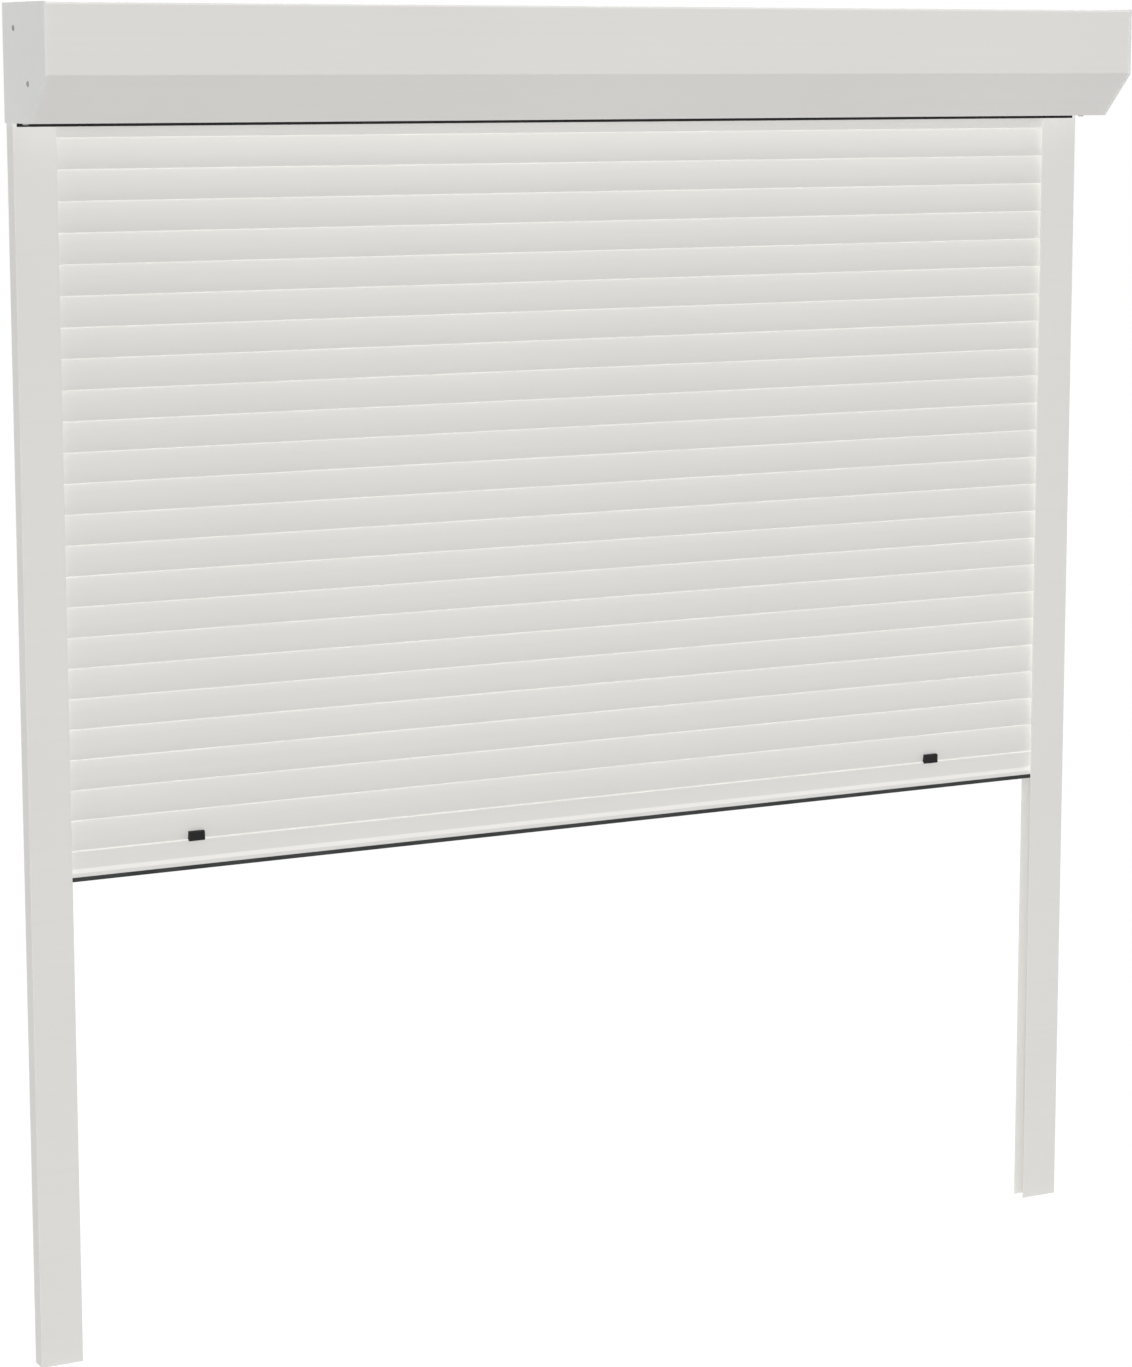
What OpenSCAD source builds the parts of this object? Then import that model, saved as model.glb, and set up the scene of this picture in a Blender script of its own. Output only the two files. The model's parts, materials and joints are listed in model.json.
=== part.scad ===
// Exterior roller shutter: a box with a sloped front, two guide rails and a slatted curtain.
// Millimetres. The wall plane is y = 0, the outside is at -Y and +Z is up.
// The origin is on the wall plane, in the middle of the box's rear wall.

/* [Overall] */
// Width across the outer faces of both guide rails
rail_span = 1500; // [1300:10:1800]
// Length of each guide rail below the box
rail_len = 1500; // [1300:10:1800]

/* [Box] */
// Height of the box over its end caps
box_h = 138; // [136:1:150]
// Depth of the box over its end caps
box_d = 141; // [139:1:155]
// Height of the upright front above the slope
front_h = 83.6; // [80:0.1:88]
// Sheet thickness of the box panels
sheet_t = 1.2; // [0.8:0.1:1.4]
// Outer radius of the sheet bends
bend_r = 3; // [2:0.5:5]
// Plate thickness of an end cap
cap_t = 2.5; // [2.4:0.1:4]
// Distance an end cap stands out past the rail
cap_over = 2; // [1:0.5:3]
// Distance an end cap stands proud of the panels
cap_proud = 1; // [0.5:0.1:1.5]
// Depth of the end cap's rim behind the panels
rim_w = 14; // [10:1:14]
// Length of the end cap's spigot inside the rail
spigot_len = 30; // [15:1:60]

/* [Rails] */
// Width of a guide rail across its front
rail_w = 53; // [50:1:60]
// Depth of a guide rail from the wall
rail_d = 22; // [22:1:26]
// Wall thickness of a guide rail
rail_wall = 1.5; // [1.2:0.1:1.8]
// Inner width of the fixing chamber
chamber_w = 17; // [14:1:18]
// Diameter of the fixing holes in the rear wall
fix_d = 5.2; // [4.2:0.1:6.5]
// Distance of the first and last fixing hole from the rail ends
fix_edge = 120; // [60:5:200]

/* [Curtain] */
// Height from one slat joint to the next
slat_pitch = 37; // [36.8:0.1:37.4]
// Depth of the outer face in front of the curtain plane
slat_front = 4.6; // [4.2:0.1:4.8]
// Depth of the inner face behind the curtain plane
slat_back = 3.6; // [3.2:0.1:3.8]
// Skin thickness of a slat
slat_skin = 0.8; // [0.6:0.1:1]
// Distance of the curtain plane from the wall
curtain_y = 11; // [11:0.1:11.4]
// Distance from the box to the first visible slat joint
top_gap = 12.9; // [10:0.1:18]
// Clearance between a slat end and the rail floor
end_gap = 5; // [3:0.5:8]
// Height of the seal between the box and the rails
outlet_seal_h = 4.4; // [3:0.1:5]

/* [End bar] */
// Height of the end bar below its joint
bar_h = 31.6; // [31:0.1:33]
// Height of the seal below the end bar
seal_h = 5.9; // [4.5:0.1:7]
// Width of a stopper
stop_w = 20; // [16:1:26]
// Height of a stopper
stop_h = 12; // [10:0.5:12]
// Distance of each stopper from the curtain's edge
stop_edge = 190.5; // [100:0.5:400]

/* [Drive] */
// Width across flats of the winding tube
tube_af = 40; // [40:0.1:41]
// Wall thickness of the winding tube
tube_wall = 0.8; // [0.6:0.1:1]
// Length of the tube motor
motor_len = 460; // [300:10:560]
// Diameter of the idler pin
pin_d = 12; // [10:0.5:14]

/* [Hidden] */
$fn = 200;

// Clearance where one fixed piece is pushed into another
seat_gap = 0.2;
// Clearance round a screw shank
screw_gap = 0.1;
// Radial clearance of a turning fit
run_gap = 0.05;
// Length a cut runs past the face it opens
cut = 1;

// Half widths of the caps, the panels and the rails
rail_x = rail_span / 2;
cap_x = rail_x + cap_over;
cap_in = cap_x - cap_t;
panel_x = cap_in - seat_gap;
rim_in = cap_in - rim_w;
rail_in = rail_x - rail_w;
chamber_x = rail_x - rail_wall - chamber_w;
floor_x = chamber_x - rail_wall;
slat_x = floor_x - end_gap;

// Levels of the box and the line y + z of its slope
box_top = box_h / 2;
box_low = -box_h / 2;
rail_top = box_low - outlet_seal_h;
rail_low = rail_top - rail_len;
slope_sum = box_top - front_h - box_d;
slope_y = slope_sum - box_low;
root2 = sqrt(2);

// Layers of sheet: the lap at the top is two sheets thick
skin_in = cap_proud + sheet_t;
lap_in = skin_in + sheet_t;
lap_y = box_d - 25;
hook_y = box_d - 5;
hook_h = 12;
flange_y = -slope_y - 12;
tongue_w = 14;
rim_t = 2;

// Outlet in the box floor for the curtain
outlet_y = curtain_y + slat_front + 1.4;
outlet_rise = 15;
outlet_x = rail_in - 2;
outlet_seal_inset = 5;

// Screws
screw_r = 2;
screw_head_r = 3.9;
screw_head_h = 1.9;
screw_sink = 0.3;
screw_len = 5;
screw_top = cap_x - screw_sink;
screw_neck = screw_top - screw_head_h;
dome_h = 0.8;
dome_r = [3.75, 3.1, 1.6];
socket_r = 1.4;
socket_d = 1.6;
screw_pts = [[-37, 39.7], [-82, -23.8]];
cover_screw_x = cap_in - rim_w / 2;
cover_screw_y = -45;
cover_head_r = 3.6;
cover_head_h = 2;
cover_screw_r = 1.7;

// Slat section: joint hook, shoulder and foot
hook_c = -0.25;
bead_z = 4;
bead_r = 0.95;
pocket_r = 1.25;
web_w = 0.7;
mouth_w = 1.2;
foot_gap = 0.4;
head_gap = 0.8;
mid_z = slat_pitch / 2;
front_r = 70;
back_r = 60;
shoulder_r = 8;
shoulder_z = slat_pitch - 8;
toe_r = 5;
core_low = 6.8;
core_high = slat_pitch - 5;

// Curtain: number of slats above the end bar that are seen, and the joint of the end bar
seen_slats = 23;
joint_z = rail_top - top_gap - seen_slats * slat_pitch;

// End bar section: flat part, slope out to the nose and groove of the seal
bar_gap = 0.8;
bar_front = 4.2;
bar_flat = 21.9;
nose_front = bar_front + 3.2;
nose_h = 4.9;
bar_wall = 1.4;
groove_r = 2;
groove_y = (slat_back - nose_front) / 2;
groove_z = 3.2 - bar_h;
groove_w = 2.2;
seal_r = groove_r - seat_gap;
stem_w = groove_w - 2 * seat_gap;
pad_w = 7;
stop_x = slat_x - stop_edge;
stop_low = -1.5;
stop_front = 9;
stop_seat = 0.05;

// Drive
axis_y = -box_d / 2 - 1.5;
axis_z = 4;
bracket_t = 3;
bracket_y = [-96, -27];
bracket_z = [-34, 50];
motor_r = 17.3;
head_len = 13.5;
motor_x = -cap_in + bracket_t + head_len;
motor_end = motor_x + motor_len;
crown_flange = 3;
crown_len = 10;
tube_start = head_len + bracket_t + 7;
tube_l = -cap_in + tube_start;
tube_r = cap_in - 34;
plug_len = 35;
plug_af = tube_af - 2 * tube_wall - 2 * screw_gap;
adaptor_len = 30;
stub_r = 5;
stub_len = 18;
pin_r = pin_d / 2;
pin_end = cap_in - 7;
bearing_w = 8;
bearing_r = 13;
bearing_x = cap_in - 17;
boss_r = 17;

// Wound curtain: slats on the tube, from the outer end inwards
wound_n = 14;
wound_r = 51.5;
wound_step = 9.2;
wound_start = -15;
wound_x = slat_x - 3;
link_r = 1.6;

function wound_radius(a) = wound_r - wound_step * (a - wound_start) / 360;
function wound_angle(k) = k == 0 ? wound_start
    : wound_angle(k - 1) + 2 * asin(slat_pitch / 2 / wound_radius(wound_angle(k - 1)));
function wound_point(k) = wound_radius(wound_angle(k)) * [cos(wound_angle(k)), sin(wound_angle(k))];
function turn_of(v) = atan2(v[1], v[0]);

last_mid = (wound_point(wound_n - 1) + wound_point(wound_n)) / 2;
clip_turn = turn_of(last_mid);
clip_top = norm(last_mid) - slat_front - seat_gap;
clip_w = 12;
clip_len = 40;

// Corners of the box section, set in from the top, front and slope, rear and floor
function outline(t, f, r, b) = [
    [-r, box_top - t],
    [f - box_d, box_top - t],
    [f - box_d, slope_sum + f * root2 + box_d - f],
    [slope_sum + f * root2 - box_low - b, box_low + b],
    [-r, box_low + b]
];

// Extrudes a section drawn in (y, z) from one x to another
module along_x(x0, x1) {
    translate([x0, 0, 0])
        rotate([90, 0, 90])
            linear_extrude(x1 - x0)
                children();
}

// Block between two corners
module block(p, q) {
    translate(p)
        cube(q - p);
}

// Rod along x between two positions
module rod_x(x0, x1, y, z, r) {
    translate([x0, y, z])
        rotate([0, 90, 0])
            cylinder(h = x1 - x0, r = r);
}

// Eight-sided bar along x on the winding axis, with a flat turned to the curtain clips
module octagon_x(x0, x1, af) {
    translate([x0, axis_y, axis_z])
        rotate([90, 0, 90])
            rotate(clip_turn + 22.5)
                linear_extrude(x1 - x0)
                    circle(r = af / 2 / cos(22.5), $fn = 8);
}

// Rounded box section: corner circles joined by the flat faces between them
module rounded_section(t, b, r) {
    c1 = outline(t + r, t + r, 0, b + r)[1];
    c2 = outline(t + r, t + r, 0, b + r)[2];
    c3 = outline(t + r, t + r, 0, b + r)[3];
    s = r / root2;
    polygon([
        [0, box_top - t],
        c1 + [0, r],
        c1 + [-r, 0],
        c2 + [-r, 0],
        c2 + [-s, -s],
        c3 + [-s, -s],
        c3 + [0, -r],
        [0, box_low + b]
    ]);
    translate(c1) circle(r = r);
    translate(c2) circle(r = r);
    translate(c3) circle(r = r);
}

// Front sheet: top lap, upright front, slope and floor flange in one bent piece
module front_section() {
    intersection() {
        difference() {
            rounded_section(cap_proud, 0, bend_r);
            rounded_section(skin_in, sheet_t, bend_r - sheet_t);
        }
        union() {
            translate([-box_d, box_low - cut])
                square([box_d - lap_y, box_h + 2 * cut]);
            translate([-lap_y - cut, box_low - cut])
                square([lap_y - flange_y + cut, box_top]);
        }
    }
}

module box_front() {
    color([0.86, 0.86, 0.84])
        along_x(-panel_x, panel_x)
            front_section();
}

// Rear sheet: rear wall and top, with a stiffening hook behind the front
module box_back_top() {
    color([0.84, 0.84, 0.82])
        union() {
            along_x(-panel_x, panel_x) {
                translate([-sheet_t, box_low])
                    square([sheet_t, box_h - skin_in]);
                translate([-hook_y, box_top - lap_in])
                    square([hook_y, sheet_t]);
            }
            along_x(seat_gap - rim_in, rim_in - seat_gap)
                translate([-hook_y, box_top - lap_in - hook_h])
                    square([sheet_t, hook_h + sheet_t]);
        }
}

// Floor panel: lap over the front flange, outlet edge turned up beside the curtain
module box_bottom() {
    floor_top = box_low + sheet_t;
    color([0.85, 0.85, 0.83])
        difference() {
            union() {
                block([-panel_x, seat_gap - flange_y, box_low],
                    [panel_x, -rail_d - seat_gap, floor_top]);
                block([-outlet_x, -rail_d - cut, box_low],
                    [outlet_x, -outlet_y, floor_top]);
                block([-outlet_x, -outlet_y - sheet_t, box_low],
                    [outlet_x, -outlet_y, box_low + outlet_rise]);
                block([-rim_in + 4, -flange_y - tongue_w / 2, floor_top],
                    [rim_in - 4, -flange_y + tongue_w / 2, floor_top + sheet_t]);
            }
            for (s = [-1, 1])
                translate([s * cover_screw_x, cover_screw_y, box_low - cut])
                    cylinder(h = sheet_t + 2 * cut, r = cover_screw_r + screw_gap);
        }
}

// End cap for the right-hand side: plate, rim behind the panels and spigot for the rail
module end_cap() {
    rim_low = sheet_t + seat_gap;
    rim_top = lap_in + seat_gap;
    rim_front = skin_in + seat_gap;
    hole_in = rim_low + rim_t;
    foot_x = rail_x - outlet_seal_inset + seat_gap;
    spigot_x1 = rail_x - rail_wall - seat_gap;
    spigot_y0 = -rail_d + rail_wall + seat_gap;
    spigot_y1 = -rail_wall - seat_gap;
    difference() {
        union() {
            along_x(cap_in, cap_x)
                polygon(outline(0, 0, 0, 0));
            along_x(rim_in, cap_in + cut)
                difference() {
                    polygon(outline(rim_top, rim_front, rim_low, rim_low));
                    polygon(outline(rim_top + rim_t, rim_front + rim_t, hole_in, hole_in));
                }
            block([chamber_x + seat_gap, spigot_y0, rail_top - spigot_len],
                [spigot_x1, spigot_y1, rail_top - seat_gap]);
            block([rim_in, spigot_y0, rail_top - cut],
                [spigot_x1, spigot_y1, box_low + rim_low + rim_t]);
            block([foot_x, -rail_d, rail_top], [rail_x, 0, box_low]);
        }
        for (p = screw_pts) {
            rod_x(cap_in - cut, cap_x + cut, p[0], p[1], screw_r + screw_gap);
            translate([screw_neck, p[0], p[1]])
                rotate([0, 90, 0])
                    cylinder(h = screw_head_h, r1 = screw_r + screw_gap, r2 = screw_head_r + screw_gap);
            rod_x(screw_top, cap_x + cut, p[0], p[1], screw_head_r + screw_gap);
        }
        translate([cover_screw_x, cover_screw_y, box_low])
            cylinder(h = rim_low + rim_t + cut, r = cover_screw_r + screw_gap);
    }
}

module end_cap_r() {
    color([0.82, 0.82, 0.8])
        end_cap();
}

module end_cap_l() {
    color([0.82, 0.82, 0.8])
        mirror([1, 0, 0])
            end_cap();
}

// Raised countersunk screws that hold the brackets to the end caps
module cap_screw_pair() {
    for (p = screw_pts)
        difference() {
            union() {
                rod_x(screw_top - screw_len, screw_neck, p[0], p[1], screw_r);
                translate([screw_neck, p[0], p[1]])
                    rotate([0, 90, 0])
                        cylinder(h = screw_head_h, r1 = screw_r, r2 = screw_head_r);
                for (k = [0, 1])
                    translate([screw_top + k * dome_h, p[0], p[1]])
                        rotate([0, 90, 0])
                            cylinder(h = dome_h, r1 = dome_r[k], r2 = dome_r[k + 1]);
            }
            translate([screw_top + 2 * dome_h - socket_d, p[0], p[1]])
                rotate([0, 90, 0])
                    cylinder(h = socket_d + cut, r = socket_r, $fn = 6);
        }
}

module cap_screws() {
    color([0.75, 0.75, 0.74]) {
        cap_screw_pair();
        mirror([1, 0, 0])
            cap_screw_pair();
    }
}

// Screws that hold the floor panel to the end cap rims
module cover_screws() {
    color([0.75, 0.75, 0.74])
        for (s = [-1, 1])
            translate([s * cover_screw_x, cover_screw_y, box_low]) {
                translate([0, 0, -cover_head_h])
                    cylinder(h = cover_head_h, r = cover_head_r);
                cylinder(h = 2 * sheet_t + rim_t, r = cover_screw_r);
            }
}

module outlet_seal() {
    color([0.1, 0.1, 0.1])
        block([outlet_seal_inset - rail_x, -rail_d, rail_top],
            [rail_x - outlet_seal_inset, -rail_d + rail_wall, box_low]);
}

// Guide rail for the right-hand side: fixing chamber and channel for the curtain
module rail() {
    fix_step = (rail_len - 2 * fix_edge) / 3;
    difference() {
        block([rail_in, -rail_d, rail_low], [rail_x, 0, rail_top]);
        block([chamber_x, -rail_d + rail_wall, rail_low - cut],
            [rail_x - rail_wall, -rail_wall, rail_top + cut]);
        block([rail_in - cut, -rail_d + rail_wall, rail_low - cut],
            [floor_x, -rail_wall, rail_top + cut]);
        for (k = [0 : 3])
            translate([chamber_x + chamber_w / 2, -rail_wall - cut, rail_top - fix_edge - k * fix_step])
                rotate([-90, 0, 0])
                    cylinder(h = rail_wall + 2 * cut, r = fix_d / 2);
    }
}

module rail_r() {
    color([0.86, 0.86, 0.84])
        rail();
}

module rail_l() {
    color([0.86, 0.86, 0.84])
        mirror([1, 0, 0])
            rail();
}

// Brush strips on both walls of the channel, deep behind the rail's lip
module rail_brush() {
    brush_x = rail_in + 16;
    brush_w = 5;
    brush_gap = 0.3;
    front_tip = curtain_y + nose_front + brush_gap;
    back_tip = curtain_y - slat_back - brush_gap;
    block([brush_x, -rail_d + rail_wall, rail_low], [brush_x + brush_w, -front_tip, rail_top]);
    block([brush_x, -back_tip, rail_low], [brush_x + brush_w, -rail_wall, rail_top]);
}

module rail_brush_r() {
    color([0.25, 0.25, 0.25])
        rail_brush();
}

module rail_brush_l() {
    color([0.25, 0.25, 0.25])
        mirror([1, 0, 0])
            rail_brush();
}

// Flared plastic guide that leads the slat ends from the roll into the rail
module inlet_guide() {
    guide_h = 25;
    flare_h = 8;
    flare = 2.5;
    guide_gap = 0.4;
    guide_x = rail_in + 3;
    web_x = slat_x + 4;
    front_y = -rail_d + rail_wall + seat_gap;
    rear_y = -sheet_t - seat_gap;
    front_face = -curtain_y - slat_front - guide_gap;
    rear_face = -curtain_y + slat_back + guide_gap;
    along_x(guide_x, web_x + 1) {
        polygon([
            [front_y, rail_top],
            [front_face, rail_top],
            [front_face, rail_top + guide_h - flare_h],
            [front_face - flare, rail_top + guide_h],
            [front_y, rail_top + guide_h]
        ]);
        polygon([
            [rear_y, rail_top],
            [rear_face, rail_top],
            [rear_face, rail_top + guide_h - flare_h],
            [rear_face + flare, rail_top + guide_h],
            [rear_y, rail_top + guide_h]
        ]);
    }
    block([web_x, front_y, rail_top], [rim_in - seat_gap, rear_y, rail_top + guide_h]);
}

module inlet_guide_r() {
    color([0.2, 0.2, 0.21])
        inlet_guide();
}

module inlet_guide_l() {
    color([0.2, 0.2, 0.21])
        mirror([1, 0, 0])
            inlet_guide();
}

// Winding tube and the pieces that turn with it
module shaft_tube() {
    color([0.7, 0.71, 0.72])
        difference() {
            octagon_x(tube_l, tube_r, tube_af);
            octagon_x(tube_l - cut, tube_r + cut, tube_af - 2 * tube_wall);
        }
}

module motor_crown() {
    color([0.15, 0.15, 0.16])
        difference() {
            union() {
                octagon_x(tube_l - crown_flange / 2, tube_l + crown_len, plug_af);
                octagon_x(tube_l - crown_flange, tube_l, tube_af);
            }
            rod_x(tube_l - crown_flange - cut, tube_l + crown_len + cut,
                axis_y, axis_z, motor_r + run_gap);
        }
}

module drive_adaptor() {
    adaptor_x = motor_end + seat_gap;
    color([0.15, 0.15, 0.16])
        union() {
            octagon_x(adaptor_x, adaptor_x + adaptor_len, plug_af);
            rod_x(adaptor_x - stub_len, adaptor_x + cut, axis_y, axis_z, stub_r);
        }
}

module idler_plug() {
    color([0.15, 0.15, 0.16])
        union() {
            octagon_x(tube_r - plug_len, tube_r + crown_flange / 2, plug_af);
            octagon_x(tube_r, tube_r + crown_flange, tube_af);
            rod_x(tube_r, pin_end, axis_y, axis_z, pin_r);
        }
}

// Fixed drive pieces
module motor_head() {
    color([0.9, 0.9, 0.88])
        rod_x(-cap_in + bracket_t, motor_x, axis_y, axis_z, motor_r + 1);
}

module motor_tube() {
    color([0.8, 0.8, 0.8])
        difference() {
            rod_x(motor_x, motor_end, axis_y, axis_z, motor_r);
            rod_x(motor_end - stub_len - 2, motor_end + cut, axis_y, axis_z, stub_r + run_gap);
        }
}

// Bracket plate of the right-hand side with the holes of the cap screws
module bracket_plate() {
    difference() {
        block([cap_in - bracket_t, bracket_y[0], bracket_z[0]], [cap_in, bracket_y[1], bracket_z[1]]);
        for (p = screw_pts)
            rod_x(cap_in - bracket_t - cut, cap_in + cut, p[0], p[1], screw_r + screw_gap);
    }
}

module motor_bracket() {
    color([0.7, 0.71, 0.72])
        mirror([1, 0, 0])
            bracket_plate();
}

module bearing_bracket() {
    color([0.7, 0.71, 0.72])
        union() {
            bracket_plate();
            difference() {
                rod_x(bearing_x, cap_in - bracket_t + cut, axis_y, axis_z, boss_r);
                rod_x(bearing_x - cut, bearing_x + bearing_w, axis_y, axis_z, bearing_r + run_gap);
                rod_x(bearing_x, cap_in - bracket_t, axis_y, axis_z, bearing_r - 2);
            }
        }
}

module idler_bearing() {
    color([0.75, 0.75, 0.77])
        difference() {
            rod_x(bearing_x, bearing_x + bearing_w, axis_y, axis_z, bearing_r);
            rod_x(bearing_x - cut, bearing_x + bearing_w + cut, axis_y, axis_z, pin_r + run_gap);
        }
}

// Slat section without its hooks: outer face, rounded shoulder and toe, inner face
module slat_body(inset, low, high) {
    intersection() {
        translate([front_r - slat_front, mid_z])
            circle(r = front_r - inset);
        translate([slat_back - back_r, mid_z])
            circle(r = back_r - inset);
        union() {
            translate([shoulder_r - slat_front, shoulder_z])
                circle(r = shoulder_r - inset);
            translate([-2 * slat_front, low])
                square([4 * slat_front, shoulder_z - low]);
        }
        union() {
            translate([toe_r - slat_front, toe_r])
                circle(r = toe_r - inset);
            translate([-2 * slat_front, toe_r])
                square([4 * slat_front, slat_pitch]);
        }
        translate([-2 * slat_front, low])
            square([4 * slat_front, high - low]);
    }
}

// Hook at the top of a slat or of the end bar: web and round bead
module slat_hook(root, joint) {
    translate([hook_c - web_w / 2, root])
        square([web_w, joint + bead_z - root]);
    translate([hook_c, joint + bead_z])
        circle(r = bead_r);
}

// Whole slat section with the hook above and the pocket below
module slat_section() {
    difference() {
        union() {
            slat_body(0, foot_gap, slat_pitch - head_gap);
            slat_hook(slat_pitch - 3, slat_pitch);
        }
        slat_body(slat_skin, core_low, core_high);
        translate([hook_c - mouth_w / 2, -cut])
            square([mouth_w, bead_z + cut]);
        translate([hook_c, bead_z])
            circle(r = pocket_r);
    }
}

// Slat of the hanging curtain, numbered from the end bar upwards
module slat(i) {
    color([0.88, 0.88, 0.86])
        translate([0, -curtain_y, joint_z + (i - 1) * slat_pitch])
            along_x(-slat_x, slat_x)
                slat_section();
}

module slat_01() {
    slat(1);
}

module slat_02() {
    slat(2);
}

module slat_03() {
    slat(3);
}

module slat_04() {
    slat(4);
}

module slat_05() {
    slat(5);
}

module slat_06() {
    slat(6);
}

module slat_07() {
    slat(7);
}

module slat_08() {
    slat(8);
}

module slat_09() {
    slat(9);
}

module slat_10() {
    slat(10);
}

module slat_11() {
    slat(11);
}

module slat_12() {
    slat(12);
}

module slat_13() {
    slat(13);
}

module slat_14() {
    slat(14);
}

module slat_15() {
    slat(15);
}

module slat_16() {
    slat(16);
}

module slat_17() {
    slat(17);
}

module slat_18() {
    slat(18);
}

module slat_19() {
    slat(19);
}

module slat_20() {
    slat(20);
}

module slat_21() {
    slat(21);
}

module slat_22() {
    slat(22);
}

module slat_23() {
    slat(23);
}

module slat_24() {
    slat(24);
}

module slat_25() {
    slat(25);
}

// Slats on the tube, joined end to end in a spiral
module wound_section() {
    difference() {
        union() {
            for (k = [0 : wound_n - 1])
                translate(wound_point(k))
                    rotate(turn_of(wound_point(k + 1) - wound_point(k)) - 90)
                        slat_body(0, foot_gap, slat_pitch - head_gap);
            for (k = [1 : wound_n - 1])
                translate(wound_point(k))
                    circle(r = link_r);
        }
        for (k = [0 : wound_n - 1])
            translate(wound_point(k))
                rotate(turn_of(wound_point(k + 1) - wound_point(k)) - 90)
                    slat_body(slat_skin, core_low, core_high);
    }
}

module wound_slats() {
    color([0.88, 0.88, 0.86])
        translate([0, axis_y, axis_z])
            along_x(-wound_x, wound_x)
                wound_section();
}

// Clips between the tube and the innermost slat
module curtain_clips() {
    color([0.6, 0.61, 0.62])
        for (s = [-1, 0, 1])
            translate([s * slat_x * 0.6 - clip_len / 2, axis_y, axis_z])
                rotate([90, 0, 90])
                    rotate(clip_turn)
                        linear_extrude(clip_len)
                            translate([tube_af / 2, -clip_w / 2])
                                square([clip_top - tube_af / 2, clip_w]);
}

// End bar: hooked into the lowest slat, hollow flat part, thicker nose with the seal groove
module bar_section() {
    difference() {
        union() {
            polygon([
                [-bar_front, -bar_gap],
                [-bar_front, -bar_flat],
                [-nose_front, nose_h - bar_h],
                [-nose_front, -bar_h],
                [slat_back, -bar_h],
                [slat_back, -bar_gap]
            ]);
            slat_hook(-bar_gap - cut, 0);
        }
        translate([bar_wall - bar_front, -bar_flat])
            square([bar_front + slat_back - 2 * bar_wall, bar_flat - bar_gap - bar_wall]);
        translate([groove_y, groove_z])
            circle(r = groove_r);
        translate([groove_y - groove_w / 2, -bar_h - cut])
            square([groove_w, groove_z + bar_h + cut]);
    }
}

module end_bar() {
    color([0.87, 0.87, 0.85])
        translate([0, -curtain_y, joint_z])
            along_x(-slat_x, slat_x)
                bar_section();
}

module end_bar_seal() {
    color([0.22, 0.23, 0.23])
        translate([0, -curtain_y, joint_z])
            along_x(-slat_x, slat_x)
                union() {
                    translate([groove_y, groove_z])
                        circle(r = seal_r);
                    translate([groove_y - stem_w / 2, -bar_h - seat_gap - cut])
                        square([stem_w, groove_z + bar_h + seat_gap + cut]);
                    translate([groove_y - pad_w / 2, -bar_h - seal_h])
                        square([pad_w, seal_h - seat_gap]);
                }
}

// Stop block seated on the outer face of the lowest slat
module stopper(side) {
    color([0.1, 0.1, 0.1])
        translate([0, -curtain_y, joint_z])
            along_x(side * stop_x - stop_w / 2, side * stop_x + stop_w / 2)
                difference() {
                    translate([-stop_front, stop_low])
                        square([stop_front - slat_front + 2.6, stop_h]);
                    translate([front_r - slat_front, mid_z])
                        circle(r = front_r + stop_seat);
                    translate([-bar_front - stop_seat, stop_low - cut])
                        square([bar_front, cut - stop_low + foot_gap]);
                }
}

module stopper_l() {
    stopper(-1);
}

module stopper_r() {
    stopper(1);
}

box_back_top();
box_front();
box_bottom();
end_cap_l();
end_cap_r();
cap_screws();
cover_screws();
outlet_seal();
rail_l();
rail_r();
rail_brush_l();
rail_brush_r();
inlet_guide_l();
inlet_guide_r();
shaft_tube();
motor_tube();
motor_head();
motor_bracket();
motor_crown();
drive_adaptor();
idler_plug();
idler_bearing();
bearing_bracket();
wound_slats();
curtain_clips();
end_bar();
end_bar_seal();
stopper_l();
stopper_r();
slat_01();
slat_02();
slat_03();
slat_04();
slat_05();
slat_06();
slat_07();
slat_08();
slat_09();
slat_10();
slat_11();
slat_12();
slat_13();
slat_14();
slat_15();
slat_16();
slat_17();
slat_18();
slat_19();
slat_20();
slat_21();
slat_22();
slat_23();
slat_24();
slat_25();
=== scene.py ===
import json
import logging
import math
from dataclasses import dataclass, field, replace
from enum import Enum
from typing import Any, Callable, Iterable

import bmesh
import bpy
from mathutils import Matrix, Vector, noise


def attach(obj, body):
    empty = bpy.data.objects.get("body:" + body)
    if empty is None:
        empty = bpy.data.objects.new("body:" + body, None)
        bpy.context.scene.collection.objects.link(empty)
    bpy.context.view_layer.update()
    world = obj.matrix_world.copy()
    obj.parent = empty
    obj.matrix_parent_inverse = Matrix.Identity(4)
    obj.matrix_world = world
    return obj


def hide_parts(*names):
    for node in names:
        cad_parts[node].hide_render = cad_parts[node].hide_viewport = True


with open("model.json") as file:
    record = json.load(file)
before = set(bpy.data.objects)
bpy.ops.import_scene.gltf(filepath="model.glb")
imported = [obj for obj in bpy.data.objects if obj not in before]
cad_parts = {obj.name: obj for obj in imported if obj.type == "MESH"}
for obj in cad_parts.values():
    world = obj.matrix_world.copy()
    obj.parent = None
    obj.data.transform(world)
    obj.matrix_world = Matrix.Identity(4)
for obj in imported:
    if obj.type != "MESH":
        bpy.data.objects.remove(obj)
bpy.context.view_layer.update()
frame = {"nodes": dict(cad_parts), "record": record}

log = logging.getLogger("roller_shutter")

MM = 0.001
ROOT2 = math.sqrt(2)
FULL_TURN = math.tau
# Faces that meet at more than this are shaded with a sharp edge.
SHARP_ANGLE = math.radians(28)
# Edges that turn by more than this can be eased.
CORNER_ANGLE = math.radians(40)
# Places closer than this, in millimetres, count as one.
NEAR = 0.05
# An edge with more than this share of its direction along an axis runs along it.
ALONG = 0.5
WHITE = (1.0, 1.0, 1.0, 1.0)
FLOAT = "NodeSocketFloat"
COLOUR = "NodeSocketColor"
# Most values of a noise lie in this range.
NOISE_SPAN = (0.3, 0.7)
UNIT_SPAN = (0.0, 1.0)
Point = tuple[float, float]
Triple = tuple[float, float, float]
Rgb = tuple[int, int, int]
Rgba = tuple[float, float, float, float]


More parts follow.
